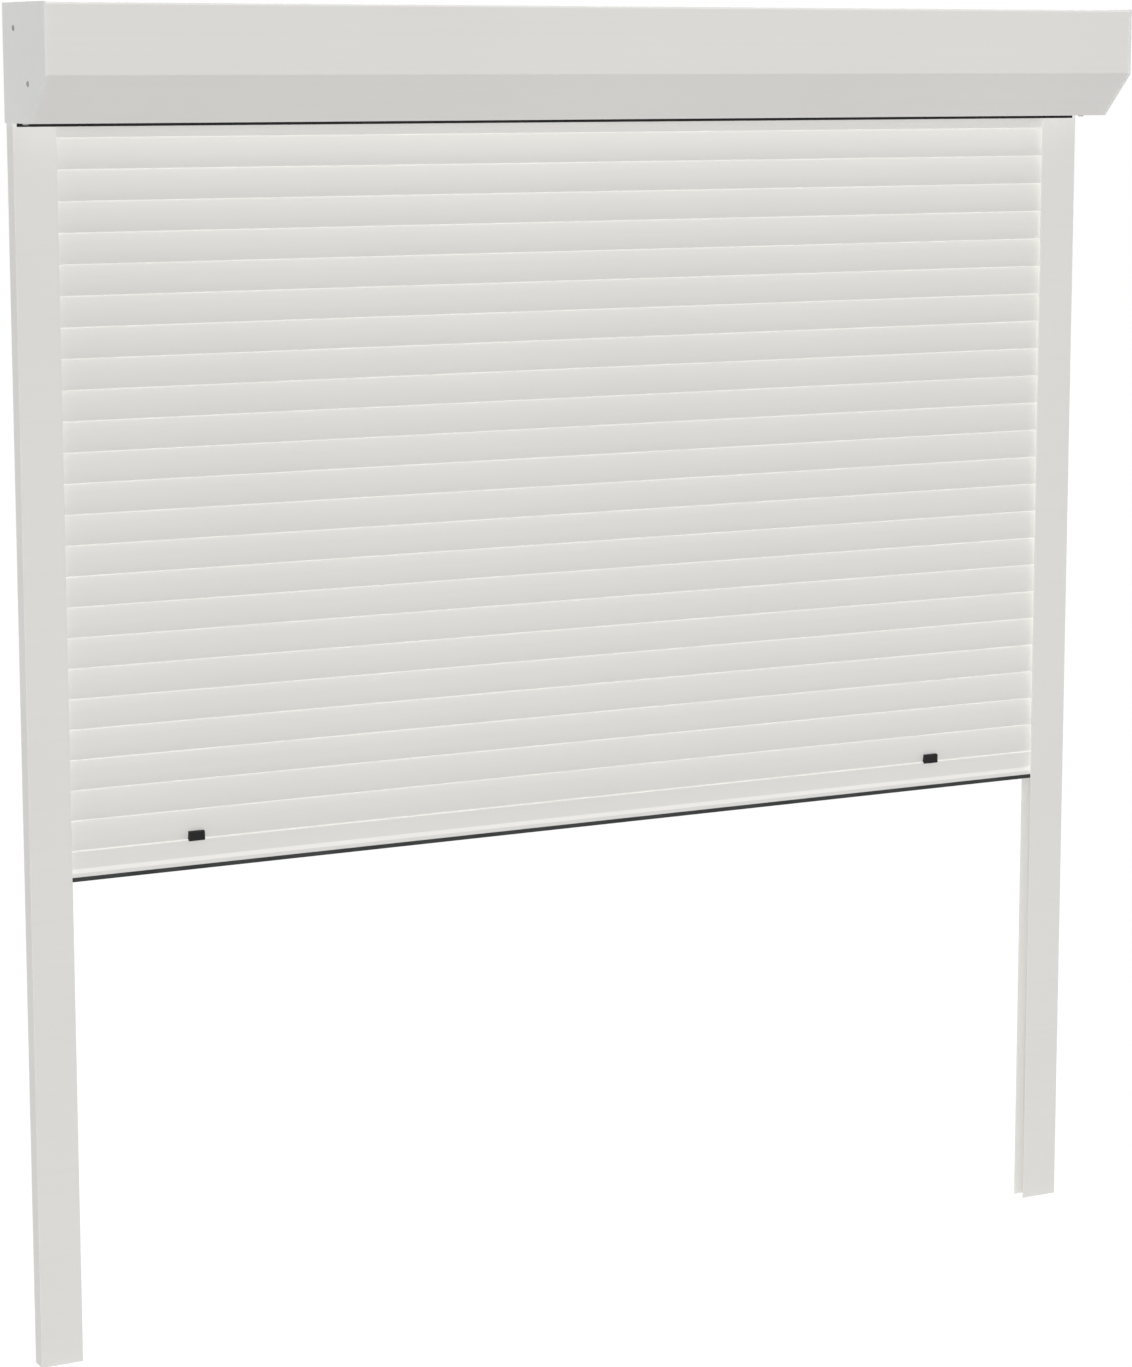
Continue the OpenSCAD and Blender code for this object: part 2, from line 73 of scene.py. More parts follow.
class Axis(Enum):
    """Direction that a section is swept along."""

    X = "x"
    Z = "z"


class Side(Enum):
    """Hand of a piece that the shutter has twice."""

    LEFT = -1
    RIGHT = 1

    @property
    def letter(self) -> str:
        """Letter that the frame's nodes of this hand end with."""
        return "l" if self is Side.LEFT else "r"

    @property
    def word(self) -> str:
        """Word that names this hand."""
        return self.name.lower()


class Slot(Enum):
    """Material slots of the part's record that the pieces here use."""

    PANEL = "coated_panel"
    SLAT = "coated_slat"
    STEEL = "zinc_steel"
    PLASTIC = "black_plastic"
    RUBBER = "seal_rubber"
    PILE = "brush_pile"


# Nodes


class NodeSheet:
    """A shader node tree with short calls to place and join its nodes."""

    columns = 9
    spacing = (190, -230)

    def __init__(self, tree: bpy.types.NodeTree) -> None:
        """Starts on an empty tree.

        Args:
            tree: Node tree of a material, a world or a group.
        """
        self.tree = tree
        self.count = 0

    def add(self, kind: str, inputs: dict[Any, Any] | None = None, **settings: Any) -> bpy.types.Node:
        """Places a node.

        Args:
            kind: Blender's name of the node type.
            inputs: Socket name or number to a constant, or to the output that feeds it.
            settings: Properties of the node itself.

        Returns:
            The new node.
        """
        node = self.tree.nodes.new(kind)
        row, column = divmod(self.count, self.columns)
        node.location = (self.spacing[0] * column, self.spacing[1] * row)
        self.count += 1
        for key, value in settings.items():
            setattr(node, key, value)
        self.feed(node, inputs or {})
        return node

    def feed(self, node: bpy.types.Node, inputs: dict[Any, Any]) -> None:
        """Sets sockets of a node, or links the outputs that feed them.

        Args:
            node: Node that is fed.
            inputs: Socket name or number to a constant or an output.
        """
        for key, value in inputs.items():
            if isinstance(value, bpy.types.NodeSocket):
                self.tree.links.new(value, node.inputs[key])
            else:
                node.inputs[key].default_value = value

    def group(self, tree: bpy.types.NodeTree, inputs: dict[str, Any]) -> Any:
        """Places a shared node group, fed as any node is, and gives its outputs."""
        return self.add("ShaderNodeGroup", inputs, node_tree=tree).outputs

    def place(self) -> bpy.types.NodeSocket:
        """Gives the place on the object, in metres."""
        return self.add("ShaderNodeTexCoord").outputs["Object"]

    def math(
        self, operation: str, first: Any, second: Any = 0.0, clamp: bool = False
    ) -> bpy.types.NodeSocket:
        """Works on one or two values, a number or an output each, and can keep the result from 0 to 1."""
        node = self.add("ShaderNodeMath", {0: first, 1: second}, operation=operation, use_clamp=clamp)
        return node.outputs[0]

    def remap(self, value: Any, span: Point, wanted: tuple[Any, Any]) -> bpy.types.NodeSocket:
        """Maps a value from one range to another, smoothly.

        Args:
            value: Output to map.
            span: Start and end of the range that is read.
            wanted: What the start and the end become.

        Returns:
            The mapped value.
        """
        ends = {"From Min": span[0], "From Max": span[1], "To Min": wanted[0], "To Max": wanted[1]}
        node = self.add("ShaderNodeMapRange", {"Value": value, **ends}, interpolation_type="SMOOTHSTEP")
        return node.outputs[0]

    def mix(self, factor: Any, first: Any, second: Any, blend: str = "MIX") -> bpy.types.NodeSocket:
        """Mixes two colours, with the factor as the share of the second one."""
        node = self.add("ShaderNodeMix", {0: factor, 6: first, 7: second}, data_type="RGBA", blend_type=blend)
        return node.outputs[2]

    def grey(self, shade: Any) -> bpy.types.NodeSocket:
        """Makes a grey of a value."""
        return self.add("ShaderNodeCombineColor", {0: shade, 1: shade, 2: shade}).outputs[0]

    def noise(self, place: Any, scale: Any, detail: float = 2.0, rough: float = 0.5) -> bpy.types.NodeSocket:
        """Gives a noise from 0 to 1, with its scale in cells per metre and its finer layers as asked."""
        inputs = {"Vector": place, "Scale": scale, "Detail": detail, "Roughness": rough}
        return self.add("ShaderNodeTexNoise", inputs).outputs[0]

    def drawn_noise(self, place: Any, cells: Triple, detail: float) -> bpy.types.NodeSocket:
        """Gives a noise that is drawn out, with its cells per metre given along each axis."""
        drawn = self.add("ShaderNodeMapping", {"Vector": place, "Scale": cells}).outputs[0]
        return self.noise(drawn, scale=1.0, detail=detail, rough=0.6)

    def bump(self, height: Any, strength: float, depth: float) -> bpy.types.NodeSocket:
        """Turns a height into a normal, with the depth of the relief in metres."""
        inputs = {"Strength": strength, "Distance": depth, "Height": height}
        return self.add("ShaderNodeBump", inputs).outputs[0]


def shader_group(name: str, inputs: dict[str, Any], outputs: dict[str, str]) -> tuple[NodeSheet, Any, Any]:
    """Starts a shader node group.

    Args:
        name: Name of the group.
        inputs: Input names and their default values, a number or a colour.
        outputs: Output names and their socket types.

    Returns:
        The sheet of the group, its input node's outputs and its output node.
    """
    tree = bpy.data.node_groups.new(name, "ShaderNodeTree")
    for label, value in inputs.items():
        kind = FLOAT if isinstance(value, float) else COLOUR
        socket = tree.interface.new_socket(name=label, in_out="INPUT", socket_type=kind)
        socket.default_value = value
    for label, kind in outputs.items():
        tree.interface.new_socket(name=label, in_out="OUTPUT", socket_type=kind)
    sheet = NodeSheet(tree)
    return sheet, sheet.add("NodeGroupInput").outputs, sheet.add("NodeGroupOutput")


class Effects:
    """Node groups that several finishes share, each built once."""

    def __init__(self) -> None:
        """Builds the groups."""
        self.coat_skin = self._coat_skin()
        self.edge_rub = self._edge_rub()
        # One mask of upward faces serves both dust and painted shade.
        self.dust_and_top_shade = self._dust_and_top_shade()
        self.moulded_grain = self._moulded_grain()

    @staticmethod
    def _coat_skin() -> bpy.types.NodeTree:
        """Stove-enamelled sheet: cloudy tone, rolling lines along the sheet and a fine orange peel.

        Returns:
            The group.
        """
        inputs = {"Colour": (0.7, 0.7, 0.66, 1.0), "Drift": 0.02, "Roughness": 0.4, "Peel Scale": 700.0}
        outputs = {"Colour": COLOUR, "Roughness": FLOAT, "Height": FLOAT}
        sheet, given, put = shader_group("coat_skin", inputs, outputs)
        place = sheet.place()
        cloud = sheet.noise(place, scale=2.6, detail=4.0, rough=0.55)
        lines = sheet.drawn_noise(place, cells=(0.9, 160.0, 160.0), detail=3.0)
        drift = tuple(sheet.math(way, 1.0, given["Drift"]) for way in ("SUBTRACT", "ADD"))
        tone = sheet.remap(cloud, NOISE_SPAN, drift)
        streak = sheet.remap(lines, (0.25, 0.75), (0.994, 1.006))
        shade = sheet.grey(sheet.math("MULTIPLY", tone, streak))
        patch = sheet.remap(sheet.noise(place, scale=9.0, detail=3.0, rough=0.6), NOISE_SPAN, (-0.045, 0.045))
        peel = sheet.noise(place, scale=given["Peel Scale"], detail=2.0, rough=0.45)
        line_height = sheet.math("MULTIPLY", lines, 0.35)
        sheet.feed(put, {
            "Colour": sheet.mix(1.0, given["Colour"], shade, "MULTIPLY"),
            "Roughness": sheet.math("ADD", given["Roughness"], patch),
            "Height": sheet.math("ADD", peel, line_height),
        })
        return sheet.tree

    @staticmethod
    def _edge_rub() -> bpy.types.NodeTree:
        """Mask of the outer edges, broken up so that the wear isn't an even line.

        Returns:
            The group.
        """
        sheet, given, put = shader_group("edge_rub", {"Radius": 0.0008, "Amount": 1.0}, {"Mask": FLOAT})
        rounded = sheet.add("ShaderNodeBevel", {"Radius": given["Radius"]}, samples=4).outputs[0]
        flat = sheet.add("ShaderNodeNewGeometry").outputs["Normal"]
        facing = sheet.add("ShaderNodeVectorMath", {0: rounded, 1: flat}, operation="DOT_PRODUCT")
        edge = sheet.remap(facing.outputs["Value"], (0.995, 0.86), UNIT_SPAN)
        patches = sheet.noise(sheet.place(), scale=85.0, detail=4.0, rough=0.65)
        mask = sheet.math("MULTIPLY", edge, sheet.remap(patches, (0.38, 0.66), (0.15, 1.0)))
        sheet.feed(put, {"Mask": sheet.math("MULTIPLY", mask, given["Amount"], clamp=True)})
        return sheet.tree

    @staticmethod
    def _dust_and_top_shade() -> bpy.types.NodeTree:
        """Mask of faces turned upwards, for settled dust, and for painted shade where it is raised: darker
        lit tops and slat joints.

        Returns:
            The group.
        """
        sheet, given, put = shader_group("dust_and_top_shade", {"Amount": 0.3}, {"Mask": FLOAT})
        normal = sheet.add("ShaderNodeNewGeometry").outputs["Normal"]
        up = sheet.add("ShaderNodeSeparateXYZ", {0: normal}).outputs["Z"]
        lying = sheet.remap(up, (0.6, 0.97), UNIT_SPAN)
        grains = sheet.noise(sheet.place(), scale=40.0, detail=6.0, rough=0.7)
        mask = sheet.math("MULTIPLY", lying, sheet.remap(grains, (0.35, 0.7), (0.4, 0.73)))
        sheet.feed(put, {"Mask": sheet.math("MULTIPLY", mask, given["Amount"], clamp=True)})
        return sheet.tree

    @staticmethod
    def _moulded_grain() -> bpy.types.NodeTree:
        """Spark-eroded grain of a moulded plastic, or the skin of an extruded rubber.

        Returns:
            The group.
        """
        inputs = {"Colour": (0.01, 0.01, 0.01, 1.0), "Roughness": 0.55, "Grain Scale": 1400.0}
        outputs = {"Colour": COLOUR, "Roughness": FLOAT, "Height": FLOAT}
        sheet, given, put = shader_group("moulded_grain", inputs, outputs)
        place = sheet.place()
        cells = sheet.add("ShaderNodeTexVoronoi", {"Vector": place, "Scale": given["Grain Scale"]})
        cloud = sheet.noise(place, scale=30.0, detail=3.0, rough=0.6)
        shade = sheet.grey(sheet.remap(cloud, NOISE_SPAN, (0.8, 1.25)))
        patch = sheet.remap(cloud, NOISE_SPAN, (-0.07, 0.07))
        sheet.feed(put, {
            "Colour": sheet.mix(1.0, given["Colour"], shade, "MULTIPLY"),
            "Roughness": sheet.math("ADD", given["Roughness"], patch),
            "Height": cells.outputs["Distance"],
        })
        return sheet.tree


def linear(red: int, green: int, blue: int) -> Rgba:
    """Turns a colour as it shows on a screen into a shader's colour.

    Args:
        red: Red from 0 to 255.
        green: Green from 0 to 255.
        blue: Blue from 0 to 255.

    Returns:
        The colour for a socket.
    """
    parts = [c / 255 for c in (red, green, blue)]
    low = [c / 12.92 if c <= 0.04045 else ((c + 0.055) / 1.055) ** 2.4 for c in parts]
    return (low[0], low[1], low[2], 1.0)


def tinted(colour: Rgba, factor: float, lift: float = 0.0) -> Rgba:
    """Gives a lighter or darker tone of a shader's colour.

    Args:
        colour: Colour to start from.
        factor: What each part is multiplied by.
        lift: What is then added.

    Returns:
        The tone, with no part over 1.
    """
    red, green, blue = (min(1.0, part * factor + lift) for part in colour[:3])
    return (red, green, blue, 1.0)


def blank_sheet(owner: bpy.types.Material | bpy.types.World) -> NodeSheet:
    """Empties the node tree of a material or of the world.

    Args:
        owner: Material or world.

    Returns:
        The sheet of its tree.
    """
    owner.use_nodes = True
    owner.node_tree.nodes.clear()
    return NodeSheet(owner.node_tree)


@dataclass(frozen=True)
class NodeFinish:
    """A finish made of nodes: each kind works out what feeds the shader."""

    name: str
    colour: Rgb

    def material(self, effects: Effects) -> bpy.types.Material:
        """Builds the material.

        Args:
            effects: Shared node groups.

        Returns:
            The finished material.
        """
        material = bpy.data.materials.new(self.name)
        sheet = blank_sheet(material)
        shader = sheet.add("ShaderNodeBsdfPrincipled", self.sockets(sheet, effects))
        sheet.add("ShaderNodeOutputMaterial", {"Surface": shader.outputs[0]})
        return material

    def sockets(self, sheet: NodeSheet, effects: Effects) -> dict[str, Any]:
        """Places the nodes of the finish and gives what feeds each socket of its shader."""
        raise NotImplementedError


@dataclass(frozen=True)
class CoatedFinish(NodeFinish):
    """Enamelled metal: a pale coat with orange peel, rubbed edges, and darker faces turned upwards, which are
    dust and painted shade.
    """

    roughness: float = 0.42
    drift: float = 0.012
    peel_scale: float = 650.0
    peel_depth: float = 0.00003
    peel_strength: float = 0.35
    rub: float = 0.5
    rub_radius: float = 0.0009
    rub_tint: float = 1.12
    rub_polish: float = 0.1
    # Share of the upward-face darkening: dust at low values, painted shade on lit tops and in joints at high
    # ones.
    dust_and_shade: float = 0.12
    dust_and_shade_colour: Rgb = (186, 185, 181)
    specular: float = 0.4

    def sockets(self, sheet: NodeSheet, effects: Effects) -> dict[str, Any]:
        """Places the nodes of the coat, its rubbed edges and its dust.

        Args:
            sheet: Sheet of the material.
            effects: Shared node groups.

        Returns:
            What feeds each socket of the shader.
        """
        base = linear(*self.colour)
        skin = sheet.group(effects.coat_skin, {
            "Colour": base, "Drift": self.drift, "Roughness": self.roughness, "Peel Scale": self.peel_scale,
        })
        rub = sheet.group(effects.edge_rub, {"Radius": self.rub_radius, "Amount": self.rub})["Mask"]
        # Faces turned upwards are darkened and roughened: dust, and painted shade where the share is high.
        dust_and_shade = sheet.group(effects.dust_and_top_shade, {"Amount": self.dust_and_shade})["Mask"]
        rubbed = sheet.mix(rub, skin["Colour"], tinted(base, self.rub_tint))
        worn = sheet.math("SUBTRACT", skin["Roughness"], sheet.math("MULTIPLY", rub, self.rub_polish))
        return {
            "Base Color": sheet.mix(dust_and_shade, rubbed, linear(*self.dust_and_shade_colour)),
            "Roughness": sheet.math("ADD", worn, dust_and_shade, clamp=True),
            "Normal": sheet.bump(skin["Height"], self.peel_strength, self.peel_depth),
            "Specular IOR Level": self.specular,
        }


@dataclass(frozen=True)
class MouldedFinish(NodeFinish):
    """Black plastic or rubber with a moulded grain and greyed edges."""

    roughness: float = 0.6
    grain_scale: float = 1500.0
    grain_depth: float = 0.00006
    grain_strength: float = 0.5
    rub: float = 0.5
    rub_radius: float = 0.0006
    rub_tint: float = 1.9
    rub_lift: float = 0.006
    specular: float = 0.2

    def sockets(self, sheet: NodeSheet, effects: Effects) -> dict[str, Any]:
        """Places the nodes of the grain and the greyed edges.

        Args:
            sheet: Sheet of the material.
            effects: Shared node groups.

        Returns:
            What feeds each socket of the shader.
        """
        base = linear(*self.colour)
        grain = sheet.group(effects.moulded_grain, {
            "Colour": base, "Roughness": self.roughness, "Grain Scale": self.grain_scale,
        })
        rub = sheet.group(effects.edge_rub, {"Radius": self.rub_radius, "Amount": self.rub})["Mask"]
        greyed = tinted(base, self.rub_tint, self.rub_lift)
        return {
            "Base Color": sheet.mix(rub, grain["Colour"], greyed),
            "Roughness": grain["Roughness"],
            "Normal": sheet.bump(grain["Height"], self.grain_strength, self.grain_depth),
            "Specular IOR Level": self.specular,
        }


@dataclass(frozen=True)
class ZincFinish(NodeFinish):
    """Galvanised steel: crystals of zinc, fine scratches and bright edges."""

    roughness: float = 0.38
    metallic: float = 1.0
    crystal_scale: float = 260.0
    crystal_tint: float = 0.72
    scratches: Triple = (30.0, 1800.0, 1800.0)
    scratch_strength: float = 0.3
    scratch_depth: float = 0.00002
    rub: float = 0.7
    rub_colour: Rgb = (224, 225, 226)

    def sockets(self, sheet: NodeSheet, effects: Effects) -> dict[str, Any]:
        """Places the nodes of the crystals, scratches and bright edges.

        Args:
            sheet: Sheet of the material.
            effects: Shared node groups.

        Returns:
            What feeds each socket of the shader.
        """
        base = linear(*self.colour)
        place = sheet.place()
        crystals = sheet.add("ShaderNodeTexVoronoi", {"Vector": place, "Scale": self.crystal_scale})
        crystal = sheet.add("ShaderNodeSeparateColor", {0: crystals.outputs["Color"]}).outputs[0]
        scratch = sheet.drawn_noise(place, self.scratches, detail=3.0)
        rub = sheet.group(effects.edge_rub, {"Amount": self.rub})["Mask"]
        share = sheet.remap(crystal, UNIT_SPAN, (0.0, 0.5))
        spangled = sheet.mix(share, base, tinted(base, self.crystal_tint))
        dull = sheet.remap(crystal, UNIT_SPAN, (-0.06, 0.06))
        scored = sheet.remap(scratch, NOISE_SPAN, (-0.05, 0.08))
        return {
            "Base Color": sheet.mix(rub, spangled, linear(*self.rub_colour)),
            "Roughness": sheet.math("ADD", sheet.math("ADD", dull, scored), self.roughness),
            "Normal": sheet.bump(scratch, self.scratch_strength, self.scratch_depth),
            "Metallic": self.metallic,
        }


@dataclass(frozen=True)
class PileFinish(NodeFinish):
    """Woven brush pile: fibres in two greys, drawn out from the back to the tips."""

    light_tint: float = 2.2
    fibres: Triple = (3200.0, 260.0, 3200.0)
    fibre_strength: float = 0.8
    fibre_depth: float = 0.0002
    rub: float = 0.4
    specular: float = 0.15

    def sockets(self, sheet: NodeSheet, effects: Effects) -> dict[str, Any]:
        """Places the nodes of the fibres.

        Args:
            sheet: Sheet of the material.
            effects: Shared node groups.

        Returns:
            What feeds each socket of the shader.
        """
        base = linear(*self.colour)
        light = tinted(base, self.light_tint)
        fibre = sheet.drawn_noise(sheet.place(), self.fibres, detail=2.0)
        rub = sheet.group(effects.edge_rub, {"Amount": self.rub})["Mask"]
        strands = sheet.mix(sheet.remap(fibre, (0.35, 0.7), UNIT_SPAN), base, light)
        return {
            "Base Color": sheet.mix(rub, strands, light),
            "Roughness": sheet.remap(fibre, NOISE_SPAN, (0.72, 0.95)),
            "Normal": sheet.bump(fibre, self.fibre_strength, self.fibre_depth),
            "Specular IOR Level": self.specular,
        }


class Finish(Enum):
    """Finishes of the shutter's pieces."""

    # Panels and caps get a high share of the upward-face darkening: painted shade that dims their brightly
    # lit tops.
    PANEL = CoatedFinish("panel_enamel", (216, 215, 211), dust_and_shade=0.6)
    RAIL = CoatedFinish("rail_enamel", (214, 213, 209), roughness=0.4, drift=0.01, peel_scale=750.0)
    CAP = CoatedFinish(
        "cap_enamel", (217, 218, 215), roughness=0.46, peel_scale=520.0, peel_depth=0.00005, dust_and_shade=0.6
    )
    # Slats get the full upward-face darkening: painted shade on the lit shoulders in their joints, with a
    # little dust.
    SLAT = CoatedFinish(
        "slat_enamel", (215, 214, 210), roughness=0.38, drift=0.008, peel_scale=900.0, peel_depth=0.00002,
        rub=0.3, rub_radius=0.0006, dust_and_shade=1.0,
    )
    # The end bar keeps the slats' full upward-face darkening, painted shade on its lit upward faces.
    BAR = replace(SLAT, name="bar_enamel", rub=0.35)
    # Screw zinc is dull and darkened: painted shade for the dark rims round the cap screws.
    SCREW = ZincFinish("screw_zinc_painted_shade", (146, 146, 144), roughness=0.3, metallic=0.3, crystal_scale=900.0)
    STEEL = ZincFinish("drive_zinc", (186, 188, 190))
    PLASTIC = MouldedFinish("stop_plastic", (22, 22, 23))
    RUBBER = MouldedFinish(
        "seal_rubber_skin", (54, 56, 56), roughness=0.72, grain_scale=2200.0, grain_depth=0.00004, rub=0.3,
        specular=0.15,
    )
    PILE = PileFinish("brush_fibre", (52, 52, 53))
    MOTOR = CoatedFinish("motor_enamel", (214, 214, 210), roughness=0.5, drift=0.02, peel_scale=800.0)


# Meshes


def verts_of(geom: Iterable[Any]) -> list[bmesh.types.BMVert]:
    """Picks the vertices from what an operator made."""
    return [part for part in geom if isinstance(part, bmesh.types.BMVert)]


def edges_of(geom: Iterable[Any]) -> list[bmesh.types.BMEdge]:
    """Picks the edges from what an operator made."""
    return [part for part in geom if isinstance(part, bmesh.types.BMEdge)]


def edges_at(verts: Iterable[bmesh.types.BMVert]) -> list[bmesh.types.BMEdge]:
    """Gives the edges that meet at some vertices."""
    return list({edge for vert in verts for edge in vert.link_edges})


def bevel(
    bm: bmesh.types.BMesh, geom: list[Any], width: float, segments: int,
    affect: str = "EDGES", clamp: bool = False,
) -> None:
    """Rounds edges or vertices off.

    Args:
        bm: Mesh.
        geom: Edges or vertices.
        width: Width of the rounding.
        segments: Number of faces or edges across it.
        affect: Blender's word for what is rounded.
        clamp: Whether roundings are kept from overlapping.
    """
    bmesh.ops.bevel(
        bm, geom=geom, offset=width, offset_type="OFFSET", segments=segments, profile=0.5, affect=affect,
        material=-1, clamp_overlap=clamp,
    )


class Pen:
    """Draws a section as a line of edges, in millimetres, square to the axis that it is swept along."""

    def __init__(self, axis: Axis, at: float) -> None:
        """Takes an empty mesh.

        Args:
            axis: Axis that the section is square to.
            at: Place of the section along that axis.
        """
        self.axis = axis
        self.at = at
        self.bm = bmesh.new()
        self.first: bmesh.types.BMVert | None = None
        self.tip: bmesh.types.BMVert | None = None

    def spot(self, u: float, v: float) -> Vector:
        """Gives the place of a section point: (y, z) for X, (x, y) for Z."""
        return Vector((self.at, u, v)) if self.axis is Axis.X else Vector((u, v, self.at))

    def plane(self, spot: Vector) -> Point:
        """Gives the section point of a place."""
        return (spot.y, spot.z) if self.axis is Axis.X else (spot.x, spot.y)

    def start(self, u: float, v: float) -> None:
        """Puts the pen down at a section point."""
        self.first = self.tip = self.bm.verts.new(self.spot(u, v))

    def line(self, *points: Point) -> None:
        """Draws straight lines through section points.

        Args:
            points: Points in the order that they are drawn.
        """
        for u, v in points:
            self.tip = bmesh.ops.extrude_vert_indiv(self.bm, verts=[self.tip])["verts"][0]
            self.tip.co = self.spot(u, v)

    def arc(self, centre: Point, end: Point, steps: int, long_way: bool = False) -> None:
        """Draws a circular arc from the pen's place.

        Args:
            centre: Centre of the arc.
            end: Section point where it ends.
            steps: Number of edges.
            long_way: Whether it goes the longer way round.
        """
        u, v = self.plane(self.tip.co)
        turn = math.atan2(end[1] - centre[1], end[0] - centre[0]) - math.atan2(v - centre[1], u - centre[0])
        turn = (turn + math.pi) % FULL_TURN - math.pi
        if long_way:
            turn -= math.copysign(FULL_TURN, turn)
        around = Vector((1, 0, 0)) if self.axis is Axis.X else Vector((0, 0, 1))
        made = bmesh.ops.spin(
            self.bm, geom=[self.tip], cent=self.spot(*centre), axis=around, dvec=Vector(), angle=turn,
            space=Matrix(), steps=steps, use_merge=False, use_normal_flip=False, use_duplicate=False,
        )
        self.tip = verts_of(made["geom_last"])[0]

    def close(self) -> None:
        """Joins the pen's place to where it was put down."""
        if (self.tip.co - self.first.co).length < NEAR:
            bmesh.ops.weld_verts(self.bm, targetmap={self.tip: self.first})
        else:
            self.bm.edges.new((self.tip, self.first))

    def loop(self, points: list[Point]) -> None:
        """Draws a closed line with straight sides.

        Args:
            points: Its corners in order.
        """
        self.start(*points[0])
        self.line(*points[1:])
        self.close()

    def circle(self, centre: Point, radius: float) -> None:
        """Draws a circle as two half turns.

        Args:
            centre: Centre of the circle.
            radius: Its radius.
        """
        u, v = centre
        self.start(u + radius, v)
        for end in (u - radius, u + radius):
            self.arc(centre, (end, v), steps=16)
        self.close()

    def soften(self, corner: Point, radius: float, segments: int) -> None:
        """Rounds a corner between two straight lines.

        Args:
            corner: Section point of the corner.
            radius: Radius of the rounding.
            segments: Number of edges round it.
        """
        spot = self.spot(*corner)
        vert = min(self.bm.verts, key=lambda w: (w.co - spot).length)
        arms = [(e.other_vert(vert).co - vert.co).normalized() for e in vert.link_edges]
        turn = math.pi - arms[0].angle(arms[1])
        bevel(self.bm, [vert], radius * math.tan(turn / 2), segments, "VERTICES")

    def sweep_solid(self, to: float) -> bmesh.types.BMesh:
        """Fills the closed lines and sweeps them into a solid that ends at a place along the axis."""
        bmesh.ops.triangle_fill(self.bm, use_beauty=True, use_dissolve=False, edges=self.bm.edges[:])
        return self._sweep_faces(to)

    def sweep_rim(self, width: float, to: float) -> bmesh.types.BMesh:
        """Sweeps a rim along the inside of the closed line into a hollow solid.

        Args:
            width: Width of the rim.
            to: Where the sweep ends along the axis.

        Returns:
            The mesh.
        """
        face = bmesh.ops.contextual_create(self.bm, geom=self.bm.edges[:])["faces"]
        bmesh.ops.inset_region(self.bm, faces=face, thickness=width, use_even_offset=True)
        bmesh.ops.delete(self.bm, geom=face, context="FACES")
        return self._sweep_faces(to)

    def sweep_sheet(self, stops: Iterable[float]) -> bmesh.types.BMesh:
        """Sweeps the open line into a sheet without thickness.

        Args:
            stops: Where each step of the sweep ends along the axis.

        Returns:
            The mesh.
        """
        rim = self.bm.edges[:]
        for stop in stops:
            made = bmesh.ops.extrude_edge_only(self.bm, edges=rim)["geom"]
            rim = edges_of(made)
            self._shift(made, stop)
        return self.bm

    def _sweep_faces(self, to: float) -> bmesh.types.BMesh:
        """Sweeps the section's faces into a solid.

        Args:
            to: Where the sweep ends along the axis.

        Returns:
            The mesh.
        """
        self._shift(bmesh.ops.extrude_face_region(self.bm, geom=self.bm.faces[:])["geom"], to)
        bmesh.ops.recalc_face_normals(self.bm, faces=self.bm.faces[:])
        return self.bm

    def _shift(self, geom: list[Any], to: float) -> None:
        """Moves the new end of a sweep to its place along the axis."""
        for vert in verts_of(geom):
            vert.co[0 if self.axis is Axis.X else 2] = to


def block(bm: bmesh.types.BMesh, low: Triple, high: Triple, edge: float) -> None:
    """Adds a block with rounded edges.

    Args:
        bm: Mesh that it is added to.
        low: Lowest corner.
        high: Highest corner.
        edge: Width of the rounding.
    """
    a, b = Vector(low), Vector(high)
    made = bmesh.ops.create_cube(bm, size=1.0)["verts"]
    bmesh.ops.scale(bm, vec=b - a, verts=made)
    bmesh.ops.translate(bm, vec=(a + b) / 2, verts=made)
    bevel(bm, edges_at(made), edge, segments=2)


def ease(bm: bmesh.types.BMesh, width: float, keep: Callable[[Vector, Vector], bool]) -> None:
    """Rounds the sharp edges that a test picks.

    Args:
        bm: Mesh.
        width: Width of the rounding.
        keep: Test that is given an edge's middle and its direction.
    """
    picked = []
    for edge in bm.edges:
        if len(edge.link_faces) == 2 and edge.calc_face_angle(0.0) > CORNER_ANGLE:
            a, b = edge.verts
            if keep((a.co + b.co) / 2, (b.co - a.co).normalized()):
                picked.append(edge)
    bevel(bm, picked, width, segments=2, clamp=True)


def absorb(bm: bmesh.types.BMesh, part: bmesh.types.BMesh) -> None:
    """Adds one mesh to another.

    Args:
        bm: Mesh that it is added to.
        part: Mesh that is added, which is freed.
    """
    carrier = bpy.data.meshes.new("carrier")
    part.to_mesh(carrier)
    part.free()
    bm.from_mesh(carrier)
    bpy.data.meshes.remove(carrier)


def mirrored(bm: bmesh.types.BMesh, side: Side) -> bmesh.types.BMesh:
    """Turns a right-hand mesh into the hand asked for.

    Args:
        bm: Mesh of the right-hand piece.
        side: Hand of the finished piece.

    Returns:
        The same mesh.
    """
    if side is Side.LEFT:
        bmesh.ops.scale(bm, vec=Vector((-1, 1, 1)), verts=bm.verts[:])
        bmesh.ops.reverse_faces(bm, faces=bm.faces[:])
    return bm


def half_chord(radius: float, off: float) -> float:
    """Gives half the chord of a circle at a distance from its centre."""
    return math.sqrt(radius**2 - off**2)


def crossing(first: Point, first_r: float, second: Point, second_r: float, near: Point) -> Point:
    """Finds where two circles cross.

    Args:
        first: Centre of the first circle.
        first_r: Its radius.
        second: Centre of the second circle.
        second_r: Its radius.
        near: Point near the crossing that is wanted.

    Returns:
        The crossing nearer to that point.
    """
    a, b = Vector(first), Vector(second)
    gap = (b - a).length
    along = (first_r**2 - second_r**2 + gap**2) / (2 * gap)
    off = math.sqrt(max(0.0, first_r**2 - along**2))
    unit = (b - a) / gap
    across = Vector((-unit.y, unit.x))
    found = [a + unit * along + across * off * s for s in (-1, 1)]
    best = min(found, key=lambda p: (p - Vector(near)).length)
    return (best.x, best.y)


